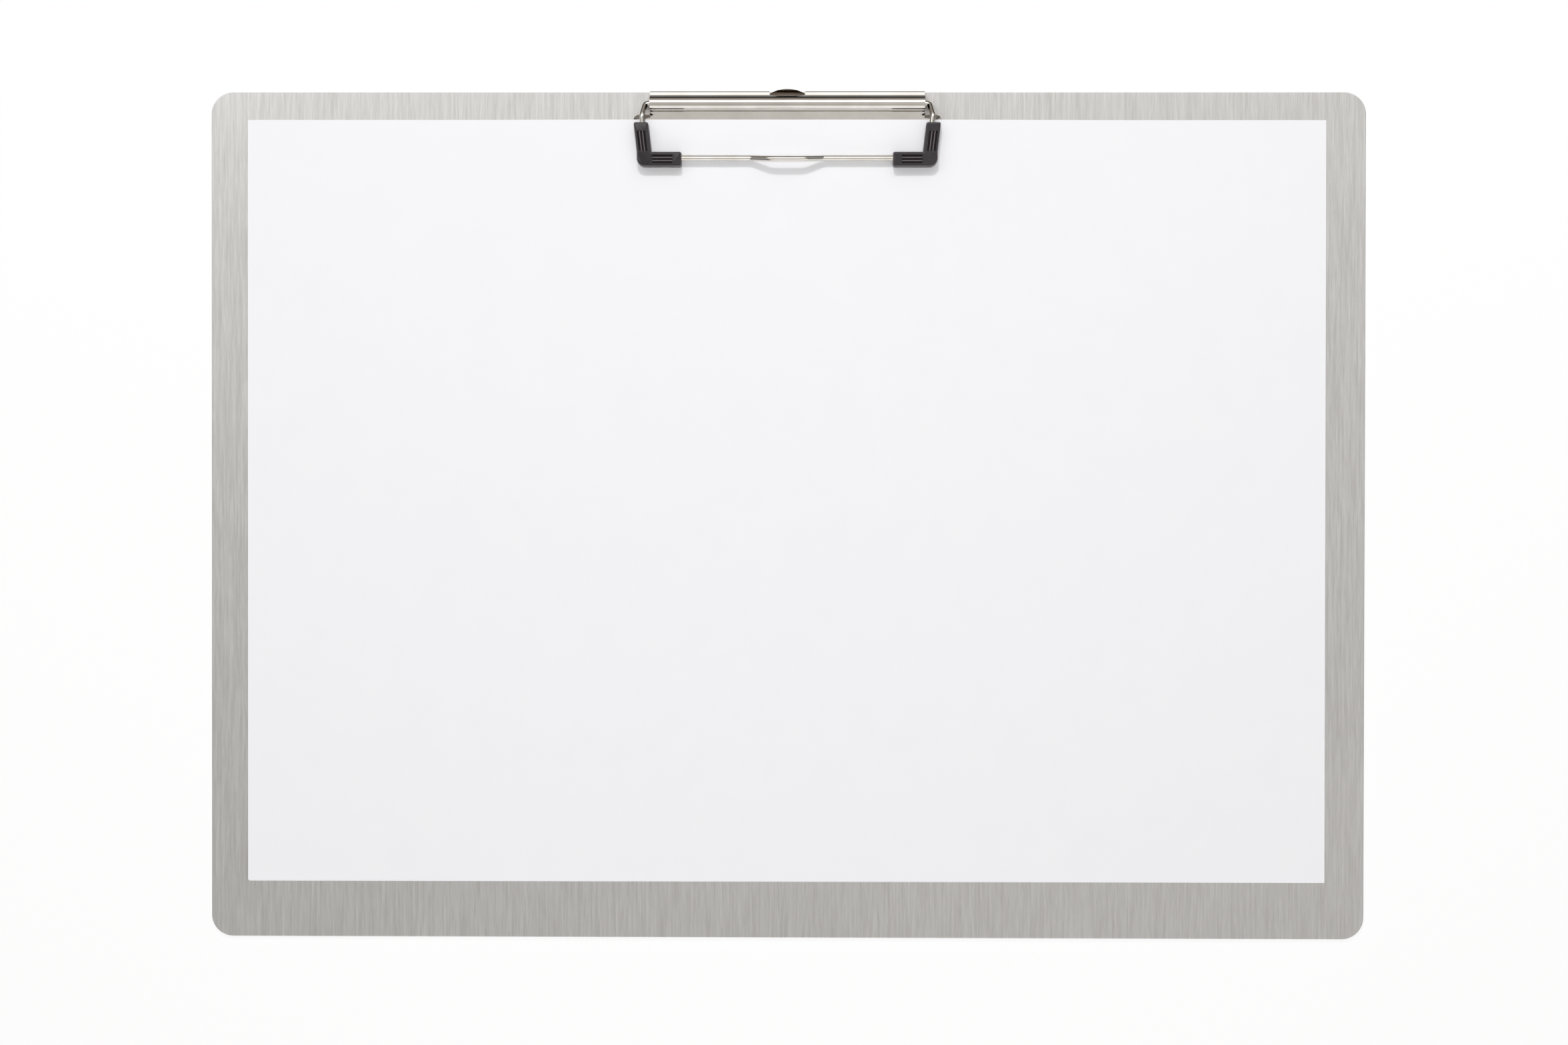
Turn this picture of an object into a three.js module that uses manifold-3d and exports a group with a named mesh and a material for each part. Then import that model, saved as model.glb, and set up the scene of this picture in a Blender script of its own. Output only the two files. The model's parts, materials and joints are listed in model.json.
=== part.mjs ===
// Landscape A3 clipboard: a brushed aluminium board with a nickel plated wire bail clip. The clip
// is a pressed base plate with a rolled ridge, a sprung wire bail that turns in the ridge, black
// corner sleeves on the wire, two rivets and a pull-out hanging eyelet. A few sheets of paper lie
// under the bail.
//
// Lengths are millimetres. X runs along the board's width, Y up the page towards the clip and Z
// up from the board's back. The origin is the centre of the board's back face.

import * as THREE from "three";
import { mergeVertices } from "three/addons/utils/BufferGeometryUtils.js";
import Module from "manifold-3d";

const wasm = await Module();
wasm.setup();

// Board
const boardWidth = 450;
const boardHeight = 330;
const boardThickness = 2;
const boardCornerRadius = 8.5;
const boardEdgeBreak = 0.25;

// Base plate of the clip, one pressed sheet whose rim is turned down on to the board
const sheetGauge = 0.7;
const trayDepth = 0.8;
const shoulderWidth = 6.5;
const plateReach = 21.85;
const plateOverhang = 0.35;
const plateCornerRadius = 3.3;

// Rolled ridge that holds the wire
const ridgeLength = 107;
const ridgeWidth = 6;
const ridgeWall = 0.5;
const ridgeFillet = 0.6;
const stripWidth = 1.95;
const stripSlope = Math.PI / 9;
const shoulderSetback = 0.7;

// Rivets
const rivetSpacing = 76;
const rivetSetback = 6.1;
const rivetShankRadius = 1.9;
const rivetHeadRadius = 3.6;
const rivetHeadHeight = 0.65;
const rivetTailRadius = 3;
const rivetTailDepth = 1;
const rivetFit = 0.15;
const dimpleMargin = 0.7;

// Hanging eyelet, a flat tab that slides out from under the plate
const hangerWidth = 13.3;
const hangerNeckInset = 0.45;
const hangerTravel = 13;
const hangerStopWidth = 17;
const hangerStopLength = 2.2;
const hangerHoleRadius = 3.5;
const hangerWeb = 1.6;
const slideClearance = 0.15;
const lipHeight = 1.8;
const lipBulge = 1.4;
const lipStandOff = 0.7;
const notchClearance = 0.3;

// Wire bail
const wireDiameter = 2.2;
const bailReach = 21.5;
const legStandOff = 3;
const legTaper = 1.65;
const exitLean = 1.2;
const kickSetBack = 3;
const exitGap = 0.4;
const shaftLength = 18;
const crankLength = 9;
const crankClearance = 0.3;
const crankBendRadius = 1.6;
const kickBendRadius = 3;
const cornerBendRadius = 2.6;
const bumpWidth = 28;
const bumpRise = 4;
const bumpBow = 0.65;
const bumpCrestRadius = 7;
const bumpKinkRadius = 3.2;

// Corner sleeves
const sleeveWidth = 5.7;
const sleeveHeight = 5.6;
const sleeveBoreRise = 0.5;
const sleeveLegLength = 14.3;
const sleeveArmLength = 14.45;
const sleeveShift = 0.6;
const sleeveElbowRadius = 4;
const sleeveCornerRadius = 0.9;
const sleeveEdgeRadius = 0.8;
const sleeveBoreFit = 0.2;
const sleeveCollar = 3.4;
const panelDepth = 0.2;
const panelMargin = 1;
const grooveWidth = 0.6;
const grooveDepth = 0.5;
const groovePitch = 1.12;

// Paper
const paperWidth = 420;
const paperHeight = 297;
const paperThickness = 0.4;
const paperShiftLeft = 0.7;
const paperTopMargin = 10.85;
const paperGap = 0.1;
const paperFlatMargin = 2.5;
const paperRampLength = 29;
const paperFlankLength = 75;
const paperCell = 15;

// Cutters run past the material by this much
const overrun = 1;

// Counts of facets and repeats
const cornerFacets = 8;
const ridgeFacets = 12;
const bendFacets = 6;
const wireFacets = 6;
const roundFacets = 36;
const lipFacets = 96;
const edgeFacets = 3;
const grooveCount = 3;
const bumpShares = [0.5, 0.23];

// Heights that the pieces share
const boardTop = boardThickness;
const plateUnderside = boardTop + trayDepth;
const hangerLow = boardTop + slideClearance;
const hangerHigh = plateUnderside - slideClearance;
const hangerGauge = hangerHigh - hangerLow;
const plateTop = plateUnderside + sheetGauge;
const pivotHeight = plateTop + ridgeFillet + ridgeWall;
const paperLow = boardTop + paperGap;
const paperHigh = plateTop + paperGap;
const sleeveUnderside = paperHigh + paperThickness + paperGap;
const legHeight = sleeveUnderside + sleeveHeight / 2 + sleeveBoreRise;

// Places along Y that the pieces share
const boardEdge = boardHeight / 2;
const plateBack = boardEdge + plateOverhang;
const plateFront = plateBack - plateReach;
const ridgeOuterRadius = ridgeWidth / 2;
const ridgeInnerRadius = ridgeOuterRadius - sheetGauge;
const pivotPlace = plateBack - stripWidth - ridgeOuterRadius;
const shoulderPlace = pivotPlace - ridgeOuterRadius - shoulderSetback;
const crossPlace = pivotPlace - bailReach;
const armPlace = crossPlace - sleeveShift;
const sleeveTopPlace = armPlace + sleeveLegLength;
const kickPlace = sleeveTopPlace + kickSetBack;
const lipRimPlace = plateBack + lipStandOff;
const lipBasePlace = lipRimPlace - lipHeight - hangerGauge / 2;
const paperTopPlace = boardEdge - paperTopMargin;

// Places along X
const plateWidth = ridgeLength + 2 * shoulderWidth;
const legTop = ridgeLength / 2 + legStandOff;
const legFoot = legTop - legTaper;
const elbowPlace = legFoot + sleeveShift;
const sleeveTopSide = legTop + sleeveShift;
const armEnd = elbowPlace - sleeveArmLength;
const wireRadius = wireDiameter / 2;

// Moulded, pressed and drawn finishes
const aluminium = new THREE.MeshStandardMaterial({ color: "#c3c1be", roughness: 0.38, metalness: 1 });
const nickel = new THREE.MeshStandardMaterial({ color: "#d9d4cb", roughness: 0.12, metalness: 1 });
const blackPlastic = new THREE.MeshStandardMaterial({ color: "#3b3839", roughness: 0.6, metalness: 0 });
const paperWhite = new THREE.MeshStandardMaterial({ color: "#f3f3f5", roughness: 0.9, metalness: 0 });

// Keeps position alone, joins shared vertices and drops faces without area
function closedGeometry(geometry) {
  const bare = geometry.clone();
  bare.deleteAttribute("normal");
  bare.deleteAttribute("uv");
  const merged = mergeVertices(bare);
  const corners = merged.index.array;
  const kept = [];
  for (let face = 0; face < corners.length; face += 3) {
    const [a, b, c] = corners.slice(face, face + 3);
    if (a !== b && b !== c && c !== a) {
      kept.push(a, b, c);
    }
  }
  merged.setIndex(kept);
  return merged;
}

function toSolid(geometry) {
  const closed = closedGeometry(geometry);
  return new wasm.Manifold(
    new wasm.Mesh({
      numProp: 3,
      vertProperties: new Float32Array(closed.attributes.position.array),
      triVerts: new Uint32Array(closed.index.array),
    }),
  );
}

function toGeometry(solid) {
  const mesh = solid.getMesh();
  const geometry = new THREE.BufferGeometry();
  geometry.setAttribute("position", new THREE.BufferAttribute(new Float32Array(mesh.vertProperties), 3));
  geometry.setIndex(new THREE.BufferAttribute(new Uint32Array(mesh.triVerts), 1));
  geometry.computeVertexNormals();
  return geometry;
}

// Rounds the corners of a chain of points, each with its own radius
function roundedRun(corners, radii, closed = false) {
  const count = corners.length;
  const run = closed ? [] : [corners[0].clone()];
  const first = closed ? 0 : 1;
  const last = closed ? count : count - 1;
  for (let index = first; index < last; index += 1) {
    const corner = corners[index];
    const back = corners[(index + count - 1) % count].clone().sub(corner).normalize();
    const ahead = corners[(index + 1) % count].clone().sub(corner).normalize();
    const radius = radii[index];
    const halfAngle = back.angleTo(ahead) / 2;
    const setback = radius / Math.tan(halfAngle);
    const bisector = back.clone().add(ahead).normalize();
    const centre = corner.clone().addScaledVector(bisector, radius / Math.sin(halfAngle));
    const start = back.clone().multiplyScalar(setback).add(corner).sub(centre);
    const end = ahead.clone().multiplyScalar(setback).add(corner).sub(centre);
    const turn = start.angleTo(end);
    for (let step = 0; step <= bendFacets; step += 1) {
      const share = step / bendFacets;
      const startShare = Math.sin((1 - share) * turn) / Math.sin(turn);
      const endShare = Math.sin(share * turn) / Math.sin(turn);
      run.push(centre.clone().addScaledVector(start, startShare).addScaledVector(end, endShare));
    }
  }
  if (!closed) {
    run.push(corners[count - 1].clone());
  }
  return run;
}

// A curve through a run of points, which puts one ring of a swept section on each of them
class RunCurve extends THREE.Curve {
  constructor(run) {
    super();
    this.run = run;
  }

  getPoint(share, target = new THREE.Vector3()) {
    const place = share * (this.run.length - 1);
    const index = Math.min(Math.floor(place), this.run.length - 2);
    return target.lerpVectors(this.run[index], this.run[index + 1], place - index);
  }

  getPointAt(share, target) {
    return this.getPoint(share, target);
  }

  getTangentAt(share, target = new THREE.Vector3()) {
    const index = Math.round(share * (this.run.length - 1));
    const before = this.run[Math.max(index - 1, 0)];
    const after = this.run[Math.min(index + 1, this.run.length - 1)];
    return target.subVectors(after, before).normalize();
  }
}

function roundRod(run, radius) {
  const section = new THREE.Shape().absarc(0, 0, radius, 0, 2 * Math.PI);
  return new THREE.ExtrudeGeometry(section, {
    curveSegments: wireFacets,
    steps: run.length - 1,
    extrudePath: new RunCurve(run),
  });
}

function roundedRectangle(left, right, bottom, top, radius) {
  const shape = new THREE.Shape();
  shape.absarc(right - radius, top - radius, radius, 0, Math.PI / 2);
  shape.absarc(left + radius, top - radius, radius, Math.PI / 2, Math.PI);
  shape.absarc(left + radius, bottom + radius, radius, Math.PI, 1.5 * Math.PI);
  shape.absarc(right - radius, bottom + radius, radius, 1.5 * Math.PI, 2 * Math.PI);
  shape.closePath();
  return shape;
}

// A flat piece between two heights, with rounded edges where a radius is given
function slab(shape, low, high, edgeRadius = 0, curveSegments = cornerFacets) {
  const geometry = new THREE.ExtrudeGeometry(shape, {
    depth: high - low - 2 * edgeRadius,
    curveSegments,
    bevelEnabled: edgeRadius > 0,
    bevelThickness: edgeRadius,
    bevelSize: edgeRadius,
    bevelOffset: -edgeRadius,
    bevelSegments: edgeFacets,
  });
  geometry.translate(0, 0, low + edgeRadius);
  return geometry;
}

// A section drawn in Y and Z, drawn out along X
function bar(shape, left, right, curveSegments) {
  const geometry = new THREE.ExtrudeGeometry(shape, {
    depth: right - left,
    curveSegments,
    bevelEnabled: false,
  });
  const axes = new THREE.Matrix4().makeBasis(
    new THREE.Vector3(0, 1, 0),
    new THREE.Vector3(0, 0, 1),
    new THREE.Vector3(1, 0, 0),
  );
  geometry.applyMatrix4(axes);
  geometry.translate(left, 0, 0);
  return geometry;
}

function block(left, right, front, back, low, high) {
  const geometry = new THREE.BoxGeometry(right - left, back - front, high - low);
  geometry.translate((left + right) / 2, (front + back) / 2, (low + high) / 2);
  return geometry;
}

// A turned piece that stands on Z, from radii and heights
function turned(outline, place) {
  const points = outline.map(([radius, height]) => new THREE.Vector2(radius, height));
  const geometry = new THREE.LatheGeometry(points, roundFacets);
  geometry.rotateX(Math.PI / 2);
  geometry.translate(place.x, place.y, 0);
  return geometry;
}

function rivetPlaces() {
  const place = plateFront + rivetSetback;
  return [-1, 1].map((side) => new THREE.Vector2((side * rivetSpacing) / 2, place));
}

// The space that a rivet's shank and its countersunk tail need, with their fit
function rivetHole(place, top) {
  const radius = rivetShankRadius + rivetFit;
  const mouth = rivetTailRadius + rivetFit;
  const outline = [
    [0, -overrun],
    [mouth, -overrun],
    [mouth, 0],
    [radius, rivetTailDepth],
    [radius, top],
    [0, top],
  ];
  return toSolid(turned(outline, place));
}

function boardPanel() {
  const outline = roundedRectangle(
    -boardWidth / 2,
    boardWidth / 2,
    -boardHeight / 2,
    boardHeight / 2,
    boardCornerRadius,
  );
  let panel = toSolid(slab(outline, 0, boardTop, boardEdgeBreak));
  for (const place of rivetPlaces()) {
    panel = panel.subtract(rivetHole(place, boardTop + overrun));
  }
  return toGeometry(panel);
}

// Section of the pressed sheet: back rim, sloping strip, rolled ridge, flange and front rim
function ridgeSection() {
  const bendRadius = ridgeFillet + sheetGauge;
  const bendHeight = plateTop + ridgeFillet;
  const backBend = pivotPlace + ridgeOuterRadius + ridgeFillet;
  const frontBend = pivotPlace - ridgeOuterRadius - ridgeFillet;
  const backRim = plateBack - sheetGauge;
  const frontRim = plateFront + sheetGauge;
  const right = Math.PI / 2;
  const stripFoot = bendHeight - bendRadius / Math.cos(stripSlope);
  const rimHeight = stripFoot - (backRim - backBend) * Math.tan(stripSlope);
  const rimStart = {
    y: backRim + sheetGauge * Math.sin(stripSlope),
    z: rimHeight + sheetGauge * Math.cos(stripSlope),
  };
  const section = new THREE.Shape();
  section.moveTo(rimStart.y, rimStart.z);
  section.absarc(backBend, bendHeight, ridgeFillet, -right - stripSlope, -Math.PI, true);
  section.absarc(pivotPlace, pivotHeight, ridgeOuterRadius, 0, Math.PI, false);
  section.absarc(frontBend, bendHeight, ridgeFillet, 0, -right, true);
  section.absarc(frontRim, plateUnderside, sheetGauge, right, Math.PI, false);
  section.lineTo(plateFront, boardTop);
  section.lineTo(frontRim, boardTop);
  section.lineTo(frontRim, plateUnderside);
  section.absarc(frontBend, bendHeight, bendRadius, -right, 0, false);
  section.absarc(pivotPlace, pivotHeight, ridgeInnerRadius, Math.PI, 0, true);
  section.absarc(backBend, bendHeight, bendRadius, -Math.PI, -right - stripSlope, false);
  section.lineTo(backRim, rimHeight);
  section.lineTo(backRim, boardTop);
  section.lineTo(plateBack, boardTop);
  section.absarc(backRim, rimHeight, sheetGauge, 0, right - stripSlope, false);
  section.closePath();
  return section;
}

// The flange under the paper, wider than the ridge, as a shallow upturned tray
function flangeTray() {
  const half = plateWidth / 2;
  const outline = roundedRectangle(-half, half, plateFront, shoulderPlace, plateCornerRadius);
  const bottom = boardTop - 2 * sheetGauge;
  const shell = toSolid(slab(outline, bottom, plateTop, sheetGauge));
  const below = toSolid(
    block(-plateWidth, plateWidth, plateFront - overrun, plateBack, bottom - overrun, boardTop),
  );
  const hollowOutline = roundedRectangle(
    -half + sheetGauge,
    half - sheetGauge,
    plateFront + sheetGauge,
    shoulderPlace - sheetGauge,
    plateCornerRadius - sheetGauge,
  );
  const hollow = toSolid(slab(hollowOutline, bottom, plateUnderside));
  return shell.subtract(below).subtract(hollow);
}

// Room under the ridge, so that the flange's back rim stops at the ridge's two ends
function ridgePassage() {
  const half = ridgeLength / 2;
  const front = shoulderPlace - sheetGauge - overrun;
  return toSolid(block(-half, half, front, shoulderPlace + overrun, boardTop - overrun, plateUnderside));
}

// A rivet's seat is pressed down to the board, so that the rivet's head lies below the paper
function pressRivetSeat(plate, place) {
  const seatRadius = rivetHeadRadius + dimpleMargin;
  const wallRadius = seatRadius + sheetGauge;
  const seatTop = boardTop + sheetGauge;
  const cup = turned(
    [
      [0, boardTop],
      [wallRadius, boardTop],
      [wallRadius, plateTop],
      [0, plateTop],
    ],
    place,
  );
  const recess = turned(
    [
      [0, seatTop],
      [seatRadius, seatTop],
      [seatRadius, plateTop + overrun],
      [0, plateTop + overrun],
    ],
    place,
  );
  return plate.add(toSolid(cup)).subtract(toSolid(recess)).subtract(rivetHole(place, plateTop));
}

function clipBase() {
  const half = ridgeLength / 2;
  let plate = flangeTray().subtract(ridgePassage());
  plate = plate.add(toSolid(bar(ridgeSection(), -half, half, ridgeFacets)));
  for (const place of rivetPlaces()) {
    plate = pressRivetSeat(plate, place);
  }
  const notchHalf = hangerWidth / 2 + notchClearance;
  const notchFront = lipBasePlace - notchClearance / 2;
  const notch = block(
    -notchHalf,
    notchHalf,
    notchFront,
    plateBack + overrun,
    boardTop - overrun,
    plateTop + ridgeFillet,
  );
  return toGeometry(plate.subtract(toSolid(notch)));
}

function rivet(place) {
  const seat = boardTop + sheetGauge;
  const outline = [
    [0, 0],
    [rivetTailRadius, 0],
    [rivetShankRadius, rivetTailDepth],
    [rivetShankRadius, seat],
    [rivetHeadRadius, seat],
    [rivetHeadRadius, seat + rivetHeadHeight / 2],
    [rivetHeadRadius - rivetHeadHeight / 2, seat + rivetHeadHeight],
    [0, seat + rivetHeadHeight],
  ];
  return toGeometry(toSolid(turned(outline, place)));
}

// The tab's outer end curls up into a lip, trimmed to a bow so that it is tallest in the middle
function hangerLip() {
  const innerRadius = lipHeight - hangerGauge / 2;
  const outerRadius = lipHeight + hangerGauge / 2;
  const centreHeight = hangerLow + outerRadius;
  const right = Math.PI / 2;
  const curl = new THREE.Shape();
  curl.moveTo(lipBasePlace - hangerGauge, hangerLow);
  curl.absarc(lipBasePlace, centreHeight, outerRadius, -right, 0, false);
  curl.absarc(lipBasePlace, centreHeight, innerRadius, 0, -right, true);
  curl.lineTo(lipBasePlace - hangerGauge, hangerHigh);
  curl.closePath();
  const half = hangerWidth / 2;
  const bowRadius = (half * half + lipBulge * lipBulge) / (2 * lipBulge);
  const bow = new THREE.CylinderGeometry(bowRadius, bowRadius, 2 * centreHeight, lipFacets);
  bow.rotateX(right);
  bow.translate(0, lipRimPlace - bowRadius, centreHeight);
  return toSolid(bar(curl, -half, half, ridgeFacets)).intersect(toSolid(bow));
}

function hangerTab() {
  const neckHalf = hangerWidth / 2 - hangerNeckInset;
  const stopHalf = hangerStopWidth / 2;
  const stopBack = plateBack - stripWidth - hangerTravel - slideClearance;
  const stopFront = stopBack - hangerStopLength;
  const tabEnd = lipBasePlace - hangerGauge / 2;
  const outline = new THREE.Shape();
  outline.moveTo(-stopHalf, stopFront);
  outline.lineTo(stopHalf, stopFront);
  outline.lineTo(stopHalf, stopBack);
  outline.lineTo(neckHalf, stopBack);
  outline.lineTo(neckHalf, tabEnd);
  outline.lineTo(-neckHalf, tabEnd);
  outline.lineTo(-neckHalf, stopBack);
  outline.lineTo(-stopHalf, stopBack);
  outline.closePath();
  const holePlace = lipBasePlace - hangerWeb - hangerHoleRadius;
  const hole = new THREE.Path().absarc(0, holePlace, hangerHoleRadius, 0, 2 * Math.PI, true);
  outline.holes.push(hole);
  const tab = toSolid(slab(outline, hangerLow, hangerHigh, 0, ridgeFacets));
  return toGeometry(tab.add(hangerLip()));
}

// Corner points of the right half of the wire, from the middle of the finger bump to its end
function wireCorners() {
  const crankOffset = ridgeInnerRadius - wireRadius - crankClearance;
  const shaftEnd = ridgeLength / 2 - shaftLength;
  const crankEnd = shaftEnd - crankOffset - crankLength;
  const [shoulderShare, crestShare] = bumpShares;
  return [
    { at: [bumpWidth * crestShare, crossPlace - bumpBow, legHeight + bumpRise], radius: bumpCrestRadius },
    { at: [bumpWidth * shoulderShare, crossPlace, legHeight], radius: bumpKinkRadius },
    { at: [legFoot, crossPlace, legHeight], radius: cornerBendRadius },
    { at: [legTop, kickPlace, legHeight], radius: kickBendRadius },
    { at: [legTop - exitLean, pivotPlace, pivotHeight], radius: legStandOff - exitLean - exitGap },
    { at: [shaftEnd, pivotPlace, pivotHeight], radius: crankBendRadius },
    { at: [shaftEnd - crankOffset, pivotPlace, pivotHeight + crankOffset], radius: crankBendRadius },
    { at: [crankEnd, pivotPlace, pivotHeight + crankOffset], radius: 0 },
  ];
}

function wireRun() {
  const half = wireCorners();
  const mirrored = half.map(({ at: [x, y, z], radius }) => ({ at: [-x, y, z], radius }));
  const whole = [...mirrored.reverse(), ...half];
  const corners = whole.map(({ at }) => new THREE.Vector3(...at));
  const radii = whole.map(({ radius }) => radius);
  return roundedRun(corners, radii);
}

function bailWire() {
  return closedGeometry(roundRod(wireRun(), wireRadius));
}

// Plan of the right sleeve: a leg along the wire's leg and an arm along the cross wire, both a
// little outside the wire
function sleeveOutline() {
  const half = sleeveWidth / 2;
  const top = new THREE.Vector3(sleeveTopSide, sleeveTopPlace, 0);
  const elbow = new THREE.Vector3(elbowPlace, armPlace, 0);
  const along = top.clone().sub(elbow).normalize();
  const across = new THREE.Vector3(along.y, -along.x, 0);
  const sideAt = (offset, place) => {
    const start = elbow.clone().addScaledVector(across, offset);
    return start.addScaledVector(along, (place - start.y) / along.y);
  };
  const corners = [
    top.clone().addScaledVector(across, half),
    top.clone().addScaledVector(across, -half),
    sideAt(-half, armPlace + half),
    new THREE.Vector3(armEnd, armPlace + half, 0),
    new THREE.Vector3(armEnd, armPlace - half, 0),
    sideAt(half, armPlace - half),
  ];
  const small = sleeveCornerRadius;
  return roundedRun(corners, [small, small, small, small, small, sleeveElbowRadius], true);
}

// A shallow panel with lengthwise grooves in the top of one limb, between its two plain collars
function limbPanel(from, to) {
  const along = to.clone().sub(from);
  const length = along.length();
  along.normalize();
  const across = new THREE.Vector3(-along.y, along.x, 0);
  const top = sleeveUnderside + sleeveHeight;
  const cutters = [];
  const cut = (offset, width, depth) => {
    const middle = from.clone().lerp(to, 0.5).addScaledVector(across, offset);
    const outline = roundedRectangle(-length / 2, length / 2, -width / 2, width / 2, grooveWidth / 2);
    const cutter = slab(outline, top - depth, top + overrun, 0, edgeFacets);
    cutter.rotateZ(Math.atan2(along.y, along.x));
    cutter.translate(middle.x, middle.y, 0);
    cutters.push(toSolid(cutter));
  };
  cut(0, sleeveWidth - 2 * panelMargin, panelDepth);
  for (let index = 0; index < grooveCount; index += 1) {
    cut((index - (grooveCount - 1) / 2) * groovePitch, grooveWidth, panelDepth + grooveDepth);
  }
  return cutters;
}

function cornerSleeve(side) {
  const outline = new THREE.Shape(sleeveOutline().map(({ x, y }) => new THREE.Vector2(x, y)));
  const top = sleeveUnderside + sleeveHeight;
  let sleeve = toSolid(slab(outline, sleeveUnderside, top, sleeveEdgeRadius));
  const wireCorner = new THREE.Vector3(legFoot, crossPlace, legHeight);
  const kick = new THREE.Vector3(legTop, kickPlace, legHeight);
  const pastArm = new THREE.Vector3(armEnd - overrun, crossPlace, legHeight);
  const pastLeg = kick.clone().addScaledVector(kick.clone().sub(wireCorner).normalize(), overrun);
  const bore = roundedRun([pastLeg, wireCorner, pastArm], [0, cornerBendRadius, 0]);
  sleeve = sleeve.subtract(toSolid(roundRod(bore, wireRadius + sleeveBoreFit)));
  const elbow = new THREE.Vector3(elbowPlace, armPlace, 0);
  const legTip = new THREE.Vector3(sleeveTopSide, sleeveTopPlace, 0);
  const armTip = new THREE.Vector3(armEnd, armPlace, 0);
  const inset = (end) => end.clone().addScaledVector(end.clone().sub(elbow).normalize(), -sleeveCollar);
  const start = (end) => elbow.clone().addScaledVector(end.clone().sub(elbow).normalize(), sleeveWidth / 2);
  for (const end of [legTip, armTip]) {
    for (const cutter of limbPanel(start(end), inset(end))) {
      sleeve = sleeve.subtract(cutter);
    }
  }
  return toGeometry(side > 0 ? sleeve : sleeve.mirror([1, 0, 0]));
}

// Falls smoothly from one to zero over a length
function easeDown(distance, length) {
  const share = THREE.MathUtils.clamp(distance / length, 0, 1);
  return (1 + Math.cos(Math.PI * share)) / 2;
}

// How far the sheets are lifted where they pass over the base plate
function paperLift(x, y) {
  const beyondFront = plateFront - paperFlatMargin - y;
  const beyondSide = Math.abs(x) - plateWidth / 2 - paperFlatMargin;
  const lift = paperHigh - paperLow;
  return lift * easeDown(beyondFront, paperRampLength) * easeDown(beyondSide, paperFlankLength);
}

function paperSheets() {
  const columns = Math.round(paperWidth / paperCell);
  const rows = Math.round(paperHeight / paperCell);
  const stack = new THREE.BoxGeometry(paperWidth, paperHeight, paperThickness, columns, rows, 1);
  stack.translate(-paperShiftLeft, paperTopPlace - paperHeight / 2, paperLow + paperThickness / 2);
  const places = stack.attributes.position;
  for (let index = 0; index < places.count; index += 1) {
    const lift = paperLift(places.getX(index), places.getY(index));
    places.setZ(index, places.getZ(index) + lift);
  }
  return closedGeometry(stack);
}

function named(name, geometry, material) {
  const mesh = new THREE.Mesh(geometry, material);
  mesh.name = name;
  return mesh;
}

const boardGroup = new THREE.Group();
boardGroup.add(named("board_panel", boardPanel(), aluminium));
boardGroup.add(named("clip_base", clipBase(), nickel));
const [leftRivet, rightRivet] = rivetPlaces();
boardGroup.add(named("rivet_left", rivet(leftRivet), nickel));
boardGroup.add(named("rivet_right", rivet(rightRivet), nickel));

const bailGroup = new THREE.Group();
bailGroup.add(named("bail_wire", bailWire(), nickel));
bailGroup.add(named("corner_sleeve_left", cornerSleeve(-1), blackPlastic));
bailGroup.add(named("corner_sleeve_right", cornerSleeve(1), blackPlastic));

const clipboard = new THREE.Group();
clipboard.add(boardGroup);
clipboard.add(bailGroup);
clipboard.add(named("hanger_tab", hangerTab(), nickel));
clipboard.add(named("paper_sheets", paperSheets(), paperWhite));

export default clipboard;
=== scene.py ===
"""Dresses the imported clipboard: brushed board, plated clip, sprung bail, sleeves, eyelet and paper."""

import json
import math

import bmesh
import bpy
from bpy.props import FloatProperty, FloatVectorProperty, IntProperty, PointerProperty
from mathutils import Euler, Matrix, Vector


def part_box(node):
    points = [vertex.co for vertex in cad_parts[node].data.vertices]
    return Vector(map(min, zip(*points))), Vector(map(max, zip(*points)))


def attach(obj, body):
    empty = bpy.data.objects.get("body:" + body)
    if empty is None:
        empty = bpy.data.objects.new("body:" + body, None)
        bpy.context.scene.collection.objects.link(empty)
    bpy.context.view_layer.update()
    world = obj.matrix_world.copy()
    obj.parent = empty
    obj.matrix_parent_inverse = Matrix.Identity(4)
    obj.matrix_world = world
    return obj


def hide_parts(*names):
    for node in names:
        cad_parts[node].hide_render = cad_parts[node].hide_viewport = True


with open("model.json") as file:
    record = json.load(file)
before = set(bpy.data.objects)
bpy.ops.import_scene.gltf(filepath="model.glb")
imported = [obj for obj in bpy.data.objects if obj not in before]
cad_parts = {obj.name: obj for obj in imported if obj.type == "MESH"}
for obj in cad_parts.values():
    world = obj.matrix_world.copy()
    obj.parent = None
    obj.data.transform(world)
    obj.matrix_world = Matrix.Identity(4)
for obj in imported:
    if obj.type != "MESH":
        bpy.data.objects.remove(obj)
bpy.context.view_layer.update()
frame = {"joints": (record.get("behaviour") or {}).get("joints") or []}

bl_info = {
    "name": "Clipboard with wire bail",
    "version": (1, 0, 0),
    "blender": (4, 5, 0),
    "location": "View3D > Sidebar > Clipboard",
    "description": "Models and finishes each piece of a landscape clipboard with a sprung wire bail",
    "category": "Object",
}

MM = 0.001

BOARD_LOW, BOARD_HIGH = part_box("board_panel")
BASE_LOW, BASE_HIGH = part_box("clip_base")
SLEEVE_LOW, SLEEVE_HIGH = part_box("corner_sleeve_right")
TAB_LOW, TAB_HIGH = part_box("hanger_tab")
PAPER_LOW, PAPER_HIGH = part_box("paper_sheets")
RIVET_LOW, RIVET_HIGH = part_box("rivet_right")
HINGE = Vector(next(joint["pos_m"] for joint in frame["joints"] if joint["name"] == "bail_hinge"))

# Clip base: heights below the ridge's axis, room round the notch and steps of the rivet seats
FLANGE_DROP = 1.1 * MM
FOOT_DROP = 0.5 * MM
NOTCH_ROOM = 0.4 * MM
EDGE_SLACK = MM / 50
SEAT_ROUND = 0.3 * MM
SEAT_FLARE = 0.2 * MM
SEAT_FOOT = 0.5 * MM
SEAT_STEP = 0.1 * MM

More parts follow.
